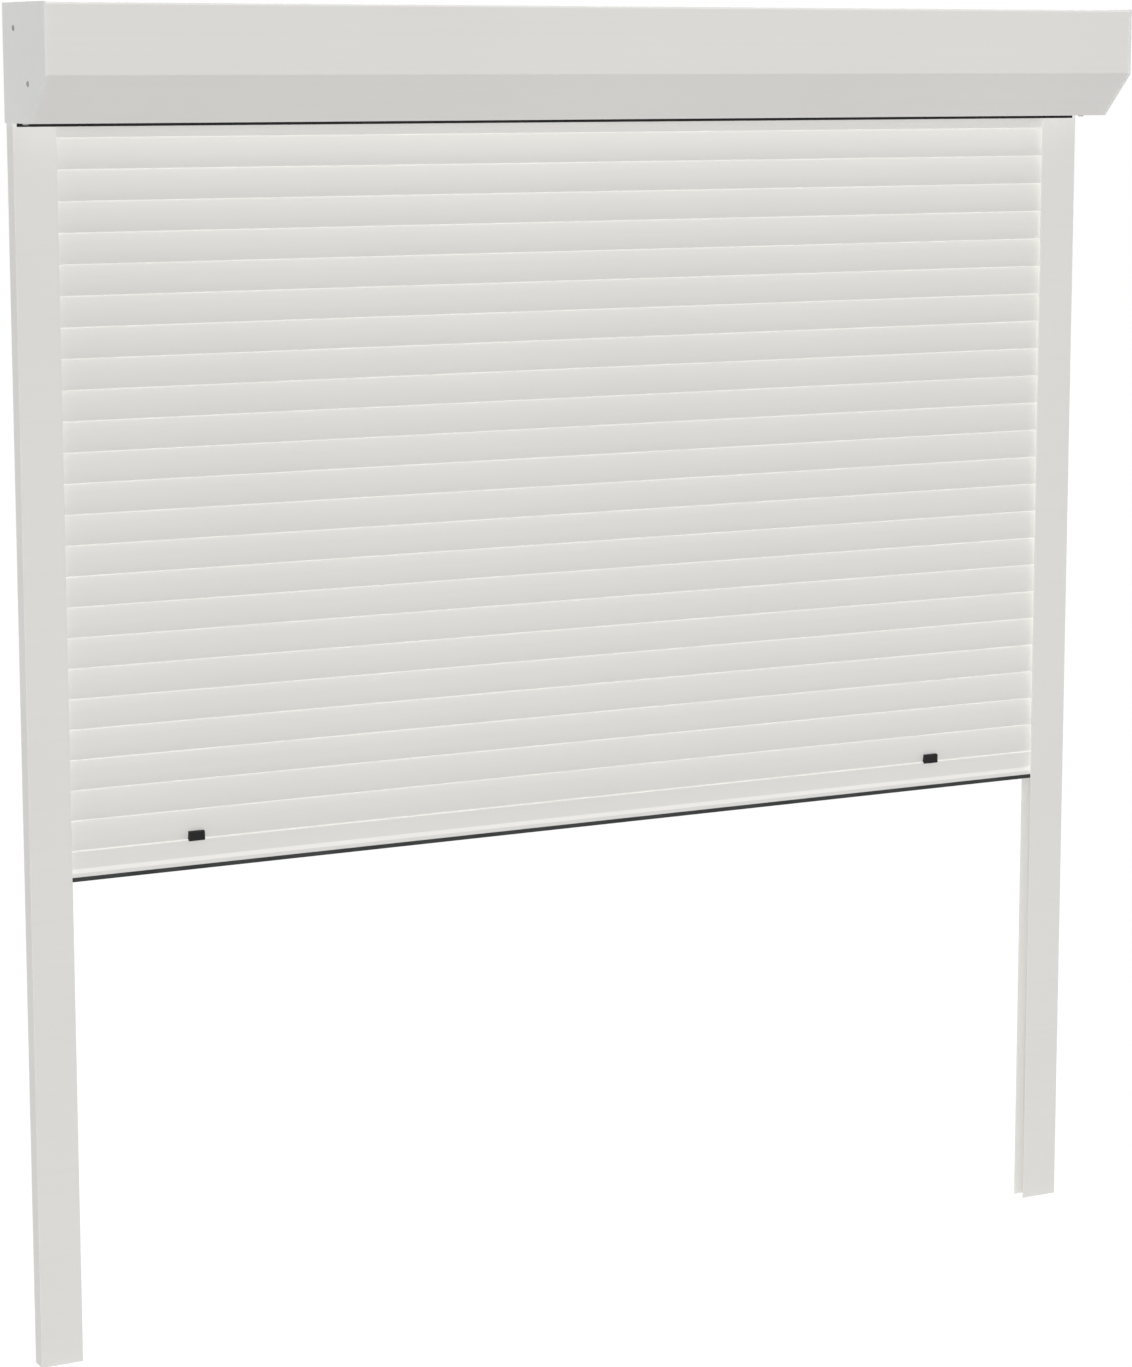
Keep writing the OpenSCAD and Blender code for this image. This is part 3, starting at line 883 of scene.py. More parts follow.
def finished(bm: bmesh.types.BMesh, name: str) -> bpy.types.Object:
    """Turns a mesh drawn in millimetres into an object at the origin.

    Args:
        bm: Mesh, which is freed.
        name: Name of the piece.

    Returns:
        The object.
    """
    bmesh.ops.scale(bm, vec=Vector((MM, MM, MM)), verts=bm.verts[:])
    mesh = bpy.data.meshes.new(name)
    bm.to_mesh(mesh)
    bm.free()
    mesh.polygons.foreach_set("use_smooth", [True] * len(mesh.polygons))
    mesh.set_sharp_from_angle(angle=SHARP_ANGLE)
    obj = bpy.data.objects.new(name, mesh)
    bpy.context.scene.collection.objects.link(obj)
    return obj


@dataclass(frozen=True)
class Piece:
    """A finished piece and what it is dressed with."""

    obj: bpy.types.Object
    finish: Finish
    slot: Slot
    body: str
    nodes: tuple[str, ...]


@dataclass
class SubAssembly:
    """A group of pieces that are built and then dressed, with sizes in millimetres on the frame's axes."""

    pieces: list[Piece] = field(default_factory=list)

    def keep(
        self, bm: bmesh.types.BMesh, name: str, finish: Finish, slot: Slot, body: str, *nodes: str
    ) -> bpy.types.Object:
        """Finishes a piece and notes what it is.

        Args:
            bm: Mesh of the piece.
            name: Name of the piece.
            finish: Finish that it gets.
            slot: Material slot that it belongs to.
            body: Body that it moves with.
            nodes: Frame nodes that it stands for.

        Returns:
            The piece's object.
        """
        obj = finished(bm, name)
        self.pieces.append(Piece(obj, finish, slot, body, nodes))
        return obj

    def dress(self, materials: dict[Finish, bpy.types.Material]) -> None:
        """Gives each piece its material and ties it to the frame.

        Args:
            materials: Material of each finish.
        """
        for piece in self.pieces:
            obj = piece.obj
            obj.modifiers.new("flat_faces", "WEIGHTED_NORMAL").keep_sharp = True
            obj.data.materials.append(materials[piece.finish])
            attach(obj, piece.body)
            if piece.nodes:
                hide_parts(*piece.nodes)
            log.info("%s: %d faces on %s", obj.name, len(obj.data.polygons), piece.body)


@dataclass(frozen=True)
class SocketScrew:
    """A screw with a socket in its head, as rings of radius and height from its face down to its point."""

    rings: tuple[Point, ...]
    head_h: float
    socket_r: float
    socket_depth: float
    socket_sides: int = 6
    head_sides: int = 36

    def add_to(self, bm: bmesh.types.BMesh, place: Matrix) -> None:
        """Adds the screw to a mesh.

        Args:
            bm: Mesh that it is added to.
            place: Where the screw's face goes, with its axis along Z.
        """
        one = bmesh.new()
        socket, rim = (
            edges_at(bmesh.ops.create_circle(one, cap_ends=False, segments=sides, radius=radius)["verts"])
            for sides, radius in ((self.socket_sides, self.socket_r), (self.head_sides, self.rings[0][0]))
        )
        bmesh.ops.bridge_loops(one, edges=socket + rim)
        sunk = bmesh.ops.extrude_edge_only(one, edges=socket)["geom"]
        bmesh.ops.translate(one, vec=Vector((0, 0, -self.socket_depth)), verts=verts_of(sunk))
        bmesh.ops.contextual_create(one, geom=edges_of(sunk))
        for (before, _), (radius, height) in zip(self.rings, self.rings[1:]):
            made = bmesh.ops.extrude_edge_only(one, edges=rim)["geom"]
            rim = edges_of(made)
            bmesh.ops.scale(one, vec=Vector((radius / before, radius / before, 1)), verts=verts_of(made))
            for vert in verts_of(made):
                vert.co.z = height
        bmesh.ops.contextual_create(one, geom=rim)
        bmesh.ops.recalc_face_normals(one, faces=one.faces[:])
        bmesh.ops.transform(one, matrix=place, verts=one.verts[:])
        absorb(bm, one)


@dataclass
class RailedAssembly(SubAssembly):
    """Sizes of the guide rails, which the box stands on as well."""

    rail_x: float = 750.0
    rail_depth: float = 22.0
    rail_wall: float = 1.5
    rail_top: float = -73.4
    chamber: Point = (731.5, 748.5)


@dataclass
class ShutterBox(RailedAssembly):
    """Box over the window: bent sheets, end caps, screws and the seal above the rails."""

    top: float = 69.0
    low: float = -69.0
    depth: float = 141.0
    front_h: float = 83.6
    sheet_t: float = 1.2
    bend_r: float = 3.0
    fold_r: float = 2.0
    seat: float = 0.2
    proud: float = 1.0
    lap_y: float = -116.0
    hook_y: float = -136.0
    hook_h: float = 12.0
    hook_r: float = 1.5
    flange_y: float = -74.6
    outlet_y: float = -17.0
    outlet_x: float = 695.0
    outlet_rise: float = 15.0
    tongue_gap: float = 4.0
    tongue_reach: float = 7.0
    tongue_edge: float = 0.3
    cap_x: float = 752.0
    cap_t: float = 2.5
    cap_corner_r: float = 1.2
    cap_edge: float = 0.4
    rim_w: float = 14.0
    rim_t: float = 2.0
    spigot_len: float = 30.0
    spigot_root: float = 3.4
    spigot_edge: float = 0.6
    ear_edge: float = 0.25
    seal_x: float = 745.0
    seal_t: float = 1.5
    seal_edge: float = 0.12
    screw_hole: float = 4.0
    screw_sink: float = 0.3
    screws: tuple[Point, ...] = ((-37.0, 39.7), (-82.0, -23.8))
    cover_screw: Point = (742.5, -45.0)
    raised_head: SocketScrew = SocketScrew(
        rings=(
            (1.6, 0.0), (2.1, -0.12), (2.6, -0.36), (3.0, -0.68), (3.35, -1.04), (3.6, -1.34), (3.75, -1.6),
            (3.9, -1.6), (2.0, -3.5), (2.0, -6.6),
        ),
        head_h=1.6, socket_r=1.4, socket_depth=1.6,
    )
    pan_head: SocketScrew = SocketScrew(
        rings=((2.4, 0.0), (3.2, -0.25), (3.6, -0.8), (3.6, -2.0), (1.7, -2.0), (1.7, -6.4)),
        head_h=2.0, socket_r=1.3, socket_depth=1.0,
    )

    @property
    def cap_in(self) -> float:
        """Inner face of an end cap's plate."""
        return self.cap_x - self.cap_t

    @property
    def rim_in(self) -> float:
        """Inner end of an end cap's rim."""
        return self.cap_in - self.rim_w

    @property
    def panel_x(self) -> float:
        """Half width of the panels."""
        return self.cap_in - self.seat

    @property
    def rail_y(self) -> float:
        """Front face of the rails."""
        return -self.rail_depth

    def outline(self, top_in: float, front_in: float, rear_in: float, floor_in: float) -> list[Point]:
        """Gives the corners of the box section.

        Args:
            top_in: Distance in from the top.
            front_in: Distance in from the front and the slope.
            rear_in: Distance in from the rear.
            floor_in: Distance in from the floor.

        Returns:
            The five corners in (y, z).
        """
        slope = self.top - self.front_h - self.depth + front_in * ROOT2
        front = front_in - self.depth
        return [
            (-rear_in, self.top - top_in),
            (front, self.top - top_in),
            (front, slope - front),
            (slope - self.low - floor_in, self.low + floor_in),
            (-rear_in, self.low + floor_in),
        ]

    def build(self) -> None:
        """Builds every piece of the box."""
        self._front()
        self._rear()
        self._floor()
        for side in Side:
            self._cap(side)
        self._cap_screws()
        self._cover_screws()
        self._seal()

    def _front(self) -> None:
        """Builds the front sheet: lap, upright front, slope and floor flange in one bent piece."""
        corners = self.outline(self.proud, self.proud, 0.0, 0.0)[1:4]
        pen = Pen(Axis.X, -self.panel_x)
        pen.start(self.lap_y, self.top - self.proud)
        pen.line(*corners, (self.flange_y, self.low))
        for corner in corners:
            pen.soften(corner, self.bend_r, segments=6)
        bm = pen.sweep_sheet([self.panel_x])
        self._thicken(bm)
        self.keep(bm, "front_panel", Finish.PANEL, Slot.PANEL, "frame", "box_front")

    def _thicken(self, bm: bmesh.types.BMesh) -> None:
        """Gives a bent sheet its thickness on the side of the box's inside.

        Args:
            bm: Mesh of the open sheet.
        """
        inside = Vector((0.0, -self.depth / 2, 0.0))
        bmesh.ops.recalc_face_normals(bm, faces=bm.faces[:])
        bm.faces.ensure_lookup_table()
        widest = max(bm.faces, key=lambda f: f.calc_area())
        if (inside - widest.calc_center_median()).dot(widest.normal) > 0:
            bmesh.ops.reverse_faces(bm, faces=bm.faces[:])
        bmesh.ops.solidify(bm, geom=bm.faces[:], thickness=self.sheet_t)
        bmesh.ops.recalc_face_normals(bm, faces=bm.faces[:])

    @staticmethod
    def _trim(bm: bmesh.types.BMesh, away: Callable[[Vector], bool]) -> None:
        """Cuts off a sheet the faces whose middles pass a test."""
        faces = [f for f in bm.faces if away(f.calc_center_median())]
        bmesh.ops.delete(bm, geom=faces, context="FACES")

    def _rear(self) -> None:
        """Builds the rear sheet: rear wall and top, with a stiffening hook behind the front."""
        level = self.top - self.proud - self.sheet_t
        pen = Pen(Axis.X, -self.panel_x)
        pen.start(0.0, self.low)
        pen.line((0.0, level), (self.hook_y, level), (self.hook_y, level - self.hook_h))
        pen.soften((0.0, level), self.fold_r, segments=5)
        pen.soften((self.hook_y, level), self.hook_r, segments=4)
        hook_x = self.rim_in - self.seat
        bm = pen.sweep_sheet([-hook_x, hook_x, self.panel_x])
        self._trim(bm, lambda mid: abs(mid.x) > hook_x and mid.z < level - NEAR and mid.y < self.lap_y)
        self._thicken(bm)
        self.keep(bm, "rear_panel", Finish.PANEL, Slot.PANEL, "frame", "box_back_top")

    def _floor(self) -> None:
        """Builds the floor panel with its upturned outlet edge and the tongue over the front flange."""
        rear = self.rail_y - self.seat
        pen = Pen(Axis.X, -self.panel_x)
        pen.start(self.flange_y + self.seat, self.low)
        pen.line((rear, self.low), (self.outlet_y, self.low), (self.outlet_y, self.low + self.outlet_rise))
        pen.soften((self.outlet_y, self.low), self.fold_r, segments=5)
        bm = pen.sweep_sheet([-self.outlet_x, self.outlet_x, self.panel_x])
        self._trim(bm, lambda mid: abs(mid.x) > self.outlet_x and mid.y > rear)
        self._thicken(bm)
        tongue_x = self.rim_in - self.tongue_gap
        level = self.low + self.sheet_t
        front, back = self.flange_y - self.tongue_reach, self.flange_y + self.tongue_reach
        block(bm, (-tongue_x, front, level), (tongue_x, back, level + self.sheet_t), self.tongue_edge)
        self.keep(bm, "floor_panel", Finish.PANEL, Slot.PANEL, "frame", "box_bottom")

    def _cap(self, side: Side) -> None:
        """Builds an end cap: plate with screw holes, rim in the panels, spigot in the rail, ear on the rail.

        Args:
            side: Hand of the cap.
        """
        pen = Pen(Axis.X, self.cap_x)
        corners = self.outline(0.0, 0.0, 0.0, 0.0)
        pen.loop(corners)
        for corner in corners[1:4]:
            pen.soften(corner, self.cap_corner_r, segments=4)
        for centre in self.screws:
            pen.circle(centre, self.screw_hole)
        bm = pen.sweep_solid(self.cap_in)
        ease(bm, self.cap_edge, lambda mid, way: mid.x > self.cap_x - NEAR)
        low = self.sheet_t + self.seat
        rim = Pen(Axis.X, self.rim_in)
        rim.loop(self.outline(self.proud + 2 * self.sheet_t + self.seat, self.proud + low, low, low))
        absorb(bm, rim.sweep_rim(self.rim_t, self.cap_in))
        inner, outer = self.chamber[0] + self.seat, self.chamber[1] - self.seat
        wall = self.rail_wall + self.seat
        foot, root = self.rail_top - self.spigot_len, self.low + self.spigot_root
        block(bm, (inner, self.rail_y + wall, foot), (outer, -wall, root), self.spigot_edge)
        ear = (self.seal_x + self.seat, self.rail_y, self.rail_top)
        block(bm, ear, (self.rail_x, 0.0, self.low), self.ear_edge)
        mirrored(bm, side)
        self.keep(bm, f"end_cap_{side.word}", Finish.CAP, Slot.PANEL, "frame", f"end_cap_{side.letter}")

    def _cap_screws(self) -> None:
        """Builds the raised countersunk screws in both end caps as one set."""
        bm = bmesh.new()
        face_x = self.cap_x - self.screw_sink + self.raised_head.head_h
        for side in Side:
            turn = Matrix.Rotation(side.value * math.pi / 2, 4, "Y")
            for y, z in self.screws:
                self.raised_head.add_to(bm, Matrix.Translation((side.value * face_x, y, z)) @ turn)
        self.keep(bm, "cap_screw_set", Finish.SCREW, Slot.STEEL, "frame", "cap_screws")

    def _cover_screws(self) -> None:
        """Builds the pan-head screws under the floor panel as one set."""
        bm = bmesh.new()
        x, y = self.cover_screw
        turn = Matrix.Rotation(math.pi, 4, "X")
        for side in Side:
            face = Vector((side.value * x, y, self.low - self.pan_head.head_h))
            self.pan_head.add_to(bm, Matrix.Translation(face) @ turn)
        self.keep(bm, "cover_screw_set", Finish.SCREW, Slot.STEEL, "frame", "cover_screws")

    def _seal(self) -> None:
        """Builds the black seal that lies between the box and the rails."""
        front, rear = self.rail_y, self.rail_y + self.seal_t
        pen = Pen(Axis.X, -self.seal_x)
        pen.loop([(front, self.rail_top), (rear, self.rail_top), (rear, self.low), (front, self.low)])
        for z in (self.rail_top, self.low):
            pen.soften((front, z), self.seal_edge, segments=2)
        bm = pen.sweep_solid(self.seal_x)
        self.keep(bm, "outlet_strip", Finish.PLASTIC, Slot.RUBBER, "frame", "outlet_seal")


@dataclass
class GuideRails(RailedAssembly):
    """Both guide rails with their fixing holes and brush strips."""

    inner_x: float = 697.0
    floor_x: float = 730.0
    low: float = -1573.4
    corner_r: float = 0.5
    outer_corner_r: float = 0.6
    hole_x: float = 740.0
    hole_r: float = 2.6
    hole_sides: int = 40
    drill_len: float = 8.0
    holes: tuple[float, ...] = (-193.4, -613.4, -1033.4, -1453.4)
    brush_x: float = 713.0
    brush_w: float = 5.0
    brush_tips: Point = (-18.7, -7.1)
    brush_grid: tuple[int, int] = (4, 420)
    tip_wear: float = 0.35
    tip_scale: float = 0.9

    def build(self) -> None:
        """Builds the rails and their brushes."""
        for side in Side:
            self._rail(side)
            self._brush(side)

    def _rail(self, side: Side) -> None:
        """Builds a rail: fixing chamber, channel for the curtain and the holes in its rear wall.

        Args:
            side: Hand of the rail.
        """
        front, lip, back = -self.rail_depth, self.rail_wall - self.rail_depth, -self.rail_wall
        outer_rear, outer_front = (self.rail_x, 0.0), (self.rail_x, front)
        channel = [(self.inner_x, lip), (self.floor_x, lip), (self.floor_x, back), (self.inner_x, back)]
        inner_front, inner_rear = (self.inner_x, front), (self.inner_x, 0.0)
        pen = Pen(Axis.Z, self.low)
        pen.loop([outer_rear, outer_front, inner_front, *channel, inner_rear])
        pen.soften(outer_front, self.outer_corner_r, segments=4)
        for corner in (outer_rear, inner_front, channel[0], channel[-1], inner_rear):
            pen.soften(corner, self.corner_r, segments=4)
        inner, outer = self.chamber
        pen.loop([(inner, lip), (outer, lip), (outer, back), (inner, back)])
        bm = mirrored(pen.sweep_solid(self.rail_top), side)
        name = f"guide_rail_{side.word}"
        rail = self.keep(bm, name, Finish.RAIL, Slot.PANEL, "frame", f"rail_{side.letter}")
        self._drill(rail, side)

    def _drill(self, rail: bpy.types.Object, side: Side) -> None:
        """Drills the fixing holes through a rail's rear wall.

        Args:
            rail: Rail that is drilled.
            side: Hand of the rail.
        """
        drills = bmesh.new()
        turn = Matrix.Rotation(math.pi / 2, 4, "X")
        for z in self.holes:
            place = Matrix.Translation((side.value * self.hole_x, 0.0, z)) @ turn
            bmesh.ops.create_cone(
                drills, cap_ends=True, segments=self.hole_sides, radius1=self.hole_r, radius2=self.hole_r,
                depth=self.drill_len, matrix=place,
            )
        cutter = finished(drills, f"drill_{side.word}")
        cut = rail.modifiers.new("holes", "BOOLEAN")
        cut.operation = "DIFFERENCE"
        cut.solver = "EXACT"
        cut.object = cutter
        bpy.context.view_layer.update()
        shaped = bpy.data.meshes.new_from_object(rail.evaluated_get(bpy.context.evaluated_depsgraph_get()))
        rail.modifiers.remove(cut)
        rail.data = shaped
        shaped.set_sharp_from_angle(angle=SHARP_ANGLE)
        bpy.data.objects.remove(cutter)

    def _brush(self, side: Side) -> None:
        """Builds the two brush strips of a rail: a pile with uneven tips on a flat back.

        Args:
            side: Hand of the rail.
        """
        bm = bmesh.new()
        height = self.rail_top - self.low
        middle_x, middle_z = self.brush_x + self.brush_w / 2, (self.rail_top + self.low) / 2
        columns, rows = self.brush_grid
        for tip, back in zip(self.brush_tips, (self.rail_wall - self.rail_depth, -self.rail_wall)):
            place = Matrix.Translation((middle_x, tip, middle_z)) @ Matrix.Rotation(math.pi / 2, 4, "X")
            made = bmesh.ops.create_grid(bm, x_segments=columns, y_segments=rows, size=0.5)["verts"]
            bmesh.ops.scale(bm, vec=Vector((self.brush_w, height, 1)), verts=made)
            bmesh.ops.transform(bm, matrix=place, verts=made)
            faces = list({face for vert in made for face in vert.link_faces})
            base = bmesh.ops.extrude_face_region(bm, geom=faces, use_keep_orig=True)["geom"]
            for vert in verts_of(base):
                vert.co.y = back
            for vert in made:
                wear = math.copysign(self.tip_wear, back - tip)
                vert.co.y += wear * abs(noise.noise(vert.co * self.tip_scale))
        bmesh.ops.recalc_face_normals(bm, faces=bm.faces[:])
        mirrored(bm, side)
        name, node = f"brush_strip_{side.word}", f"rail_brush_{side.letter}"
        self.keep(bm, name, Finish.PILE, Slot.PILE, "frame", node)


@dataclass
class HungAssembly(SubAssembly):
    """Sizes of the slats, and of the bead on a web that each of them and the end bar hangs by."""

    half_x: float = 725.0
    plane_y: float = -11.0
    joint_z: float = -937.3
    pitch: float = 37.0
    slat_front: float = 4.6
    slat_front_r: float = 70.0
    slat_foot: float = 0.4
    hook_y: float = -0.25
    web_w: float = 0.7
    bead_z: float = 4.0
    bead_r: float = 0.95

    def bead(self, joint: float, inset: float = 0.0) -> tuple[Point, float, float]:
        """Places the bead that goes up into the slat above a joint.

        Args:
            joint: Height of the joint.
            inset: Distance that the faces are set in.

        Returns:
            The bead's centre, half the width of its web and the height where the two meet.
        """
        centre = (self.plane_y + self.hook_y, joint + self.bead_z)
        # The web is thin, so it is set in by a third only.
        web = self.web_w / 2 - inset / 3
        return centre, web, centre[1] - half_chord(self.bead_r - inset, web)


@dataclass
class Curtain(HungAssembly):
    """Slats of the curtain, and the slats that come off the roll between them as it goes down."""

    back: float = 3.6
    back_r: float = 60.0
    shoulder_r: float = 5.5
    shoulder_z: float = 31.5
    toe_r: float = 5.0
    head: float = 36.2
    pocket_r: float = 1.25
    mouth_w: float = 1.2
    follow_inset: float = 0.3
    count: int = 25

    def build(self) -> None:
        """Builds the hanging slats and, above the last slat of each group, the one that follows it."""
        bodies = frame["record"]["behaviour"]["bodies"]
        holder = {node: body for body, nodes in bodies.items() for node in nodes}
        for number in range(1, self.count + 1):
            node, above = f"slat_{number:02d}", f"slat_{number + 1:02d}"
            body = holder[node]
            self.keep(self._slat(number, 0.0), f"curtain_{node}", Finish.SLAT, Slot.SLAT, body, node)
            if body != "frame" and holder[above] != body:
                follower = self._slat(number + 1, self.follow_inset)
                self.keep(follower, f"roll_{above}", Finish.SLAT, Slot.SLAT, body)

    def _slat(self, number: int, inset: float) -> bmesh.types.BMesh:
        """Draws a slat's section and sweeps it over the curtain's width.

        Args:
            number: Place of the slat above the end bar.
            inset: Distance that the faces are set in.

        Returns:
            The mesh.
        """
        y0, z0 = self.plane_y, self.joint_z + self.pitch * (number - 1)
        face, middle = y0 - self.slat_front, z0 + self.pitch / 2
        foot, head = z0 + self.slat_foot + inset, z0 + self.head - inset
        front_c, front_r = (face + self.slat_front_r, middle), self.slat_front_r - inset
        back_c, back_r = (y0 + self.back - self.back_r, middle), self.back_r - inset
        shoulder_c, shoulder_r = (face + self.shoulder_r, z0 + self.shoulder_z), self.shoulder_r - inset
        toe_c, toe_r = (face + self.toe_r, z0 + self.toe_r), self.toe_r - inset
        bead_c, web, bead_low = self.bead(z0 + self.pitch, inset)
        hook, mouth = bead_c[0], self.mouth_w / 2
        pocket_c = (hook, z0 + self.bead_z)
        pocket_low = pocket_c[1] - half_chord(self.pocket_r, mouth)
        toe = toe_c[0] - half_chord(toe_r, toe_c[1] - foot)
        shoulder_top = shoulder_c[1] + half_chord(shoulder_r, shoulder_c[0] - hook + web)
        back_head, back_foot = ((back_c[0] + half_chord(back_r, z - middle), z) for z in (head, foot))
        pen = Pen(Axis.X, inset - self.half_x)
        pen.start(hook - mouth, foot)
        pen.line((toe, foot))
        pen.arc(toe_c, crossing(toe_c, toe_r, front_c, front_r, (face, z0)), steps=4)
        pen.arc(front_c, crossing(front_c, front_r, shoulder_c, shoulder_r, (face, head)), steps=22)
        pen.arc(shoulder_c, (hook - web, shoulder_top), steps=8)
        pen.line((hook - web, bead_low))
        pen.arc(bead_c, (hook + web, bead_low), steps=12, long_way=True)
        pen.line((hook + web, head), back_head)
        pen.arc(back_c, back_foot, steps=18)
        pen.line((hook + mouth, foot), (hook + mouth, pocket_low))
        pen.arc(pocket_c, (hook - mouth, pocket_low), steps=12, long_way=True)
        pen.close()
        return pen.sweep_solid(self.half_x - inset)


@dataclass
class EndBar(HungAssembly):
    """End bar under the lowest slat, with its seal and the two stoppers."""

    front: float = 4.2
    back: float = 3.6
    top_gap: float = 0.8
    flat: float = 21.9
    nose: float = 7.4
    nose_h: float = 4.9
    height: float = 31.6
    edge_r: float = 0.4
    bend_r: float = 1.5
    brow_r: float = 1.2
    foot_r: float = 0.6
    heel_r: float = 0.8
    groove_r: float = 2.0
    groove_w: float = 2.2
    groove_rise: float = 3.2
    seal_h: float = 5.9
    seal_seat: float = 0.2
    pad_w: float = 7.0
    pad_low_r: float = 1.0
    pad_top_r: float = 0.5
    stop_x: float = 534.5
    stop_w: float = 20.0
    stop_low: float = -1.5
    stop_h: float = 12.0
    stop_front: float = 9.0
    stop_low_r: float = 1.0
    stop_top_r: float = 2.0
    stop_edge: float = 0.5
    stop_edge_front: float = 5.5
    stop_gap: float = 0.05

    @property
    def groove(self) -> Point:
        """Centre of the seal's groove."""
        return (self.plane_y + (self.back - self.nose) / 2, self.joint_z - self.height + self.groove_rise)

    def build(self) -> None:
        """Builds the bar, its seal and its stoppers."""
        self._bar()
        self._seal()
        for side in Side:
            self._stopper(side)

    def _bar(self) -> None:
        """Builds the bar: hook, flat part, slope and nose with the groove of the seal."""
        y0, z0 = self.plane_y, self.joint_z
        top, low, front, back = z0 - self.top_gap, z0 - self.height, y0 - self.front, y0 + self.back
        edge, bend, nose = (front, top), (front, z0 - self.flat), y0 - self.nose
        brow, toe, heel, crown = (nose, low + self.nose_h), (nose, low), (back, low), (back, top)
        groove_c, half = self.groove, self.groove_w / 2
        mouth_front, mouth_back = groove_c[0] - half, groove_c[0] + half
        inner = groove_c[1] - half_chord(self.groove_r, half)
        bead_c, web, bead_low = self.bead(z0)
        hook = bead_c[0]
        pen = Pen(Axis.X, -self.half_x)
        pen.start(hook - web, top)
        pen.line(edge, bend, brow, toe, (mouth_front, low), (mouth_front, inner))
        pen.arc(groove_c, (mouth_back, inner), steps=12, long_way=True)
        pen.line((mouth_back, low), heel, crown, (hook + web, top), (hook + web, bead_low))
        pen.arc(bead_c, (hook - web, bead_low), steps=12, long_way=True)
        pen.close()
        for corner, radius in (
            (edge, self.edge_r), (bend, self.bend_r), (brow, self.brow_r), (toe, self.foot_r),
            (heel, self.heel_r), (crown, self.foot_r),
        ):
            pen.soften(corner, radius, segments=4)
        bm = pen.sweep_solid(self.half_x)
        self.keep(bm, "end_bar_profile", Finish.BAR, Slot.SLAT, "curtain_foot", "end_bar")

    def _seal(self) -> None:
        """Builds the seal: bead in the groove, stem and soft pad below."""
        y, z = self.groove
        stem = self.groove_w / 2 - self.seal_seat
        inner = z - half_chord(self.groove_r - self.seal_seat, stem)
        top = self.joint_z - self.height - self.seal_seat
        low = self.joint_z - self.height - self.seal_h
        front, back = y - self.pad_w / 2, y + self.pad_w / 2
        pen = Pen(Axis.X, -self.half_x)
        pen.start(front, top)
        pen.line((front, low), (back, low), (back, top), (y + stem, top), (y + stem, inner))
        pen.arc((y, z), (y - stem, inner), steps=12, long_way=True)
        pen.line((y - stem, top))
        pen.close()
        for side_y in (front, back):
            pen.soften((side_y, low), self.pad_low_r, segments=5)
            pen.soften((side_y, top), self.pad_top_r, segments=3)
        bm = pen.sweep_solid(self.half_x)
        self.keep(bm, "end_bar_lip", Finish.RUBBER, Slot.RUBBER, "curtain_foot", "end_bar_seal")

    def _stopper(self, side: Side) -> None:
        """Builds a stop block that sits on the outer face of the lowest slat.

        Args:
            side: Hand of the stopper.
        """
        y0, z0 = self.plane_y, self.joint_z
        low, high, foot = z0 + self.stop_low, z0 + self.stop_low + self.stop_h, z0 + self.slat_foot
        front, bar = y0 - self.stop_front, y0 - self.front - self.stop_gap
        centre = (y0 + self.slat_front_r - self.slat_front, z0 + self.pitch / 2)
        reach = self.slat_front_r + self.stop_gap
        seat_high, seat_foot = ((centre[0] - half_chord(reach, z - centre[1]), z) for z in (high, foot))
        pen = Pen(Axis.X, self.stop_x - self.stop_w / 2)
        pen.start(front, low)
        pen.line((front, high), seat_high)
        pen.arc(centre, seat_foot, steps=6)
        pen.line((bar, foot), (bar, low))
        pen.close()
        pen.soften((front, low), self.stop_low_r, segments=4)
        pen.soften((front, high), self.stop_top_r, segments=5)
        bm = pen.sweep_solid(self.stop_x + self.stop_w / 2)
        ease(bm, self.stop_edge, lambda mid, way: abs(way.x) < ALONG and mid.y < y0 - self.stop_edge_front)
        mirrored(bm, side)
        name, node = f"stop_block_{side.word}", f"stopper_{side.letter}"
        self.keep(bm, name, Finish.PLASTIC, Slot.PLASTIC, "curtain_foot", node)


@dataclass
class Drive(SubAssembly):
    """Pieces inside the box that the frame brings and that only get their finish."""

    steel: tuple[str, ...] = (
        "shaft_tube", "motor_bracket", "bearing_bracket", "idler_bearing", "curtain_clips",
    )
    plastic: tuple[str, ...] = (
        "motor_crown", "drive_adaptor", "idler_plug", "inlet_guide_l", "inlet_guide_r",
    )
    motor: tuple[str, ...] = ("motor_tube", "motor_head")
    slats: tuple[str, ...] = ("wound_slats",)

    def dress(self, materials: dict[Finish, bpy.types.Material]) -> None:
        """Gives each of the frame's pieces its finish.

        Args:
            materials: Material of each finish.
        """
        groups = {
            Finish.STEEL: self.steel, Finish.PLASTIC: self.plastic, Finish.MOTOR: self.motor,
            Finish.SLAT: self.slats,
        }
        for finish, names in groups.items():
            for name in names:
                node = frame["nodes"][name]
                node.data.materials.clear()
                node.data.materials.append(materials[finish])
                log.info("%s: %s", name, finish.name)


# Studio


@dataclass(frozen=True)
class Lamp:
    """A broad, shadowless studio light, which may be kept out of the sheen of the pieces."""

    name: str
    strength: float
    shines_from: Triple
    colour: Triple = (1.0, 1.0, 1.0)
    spread: float = 40.0
    sheen: bool = True


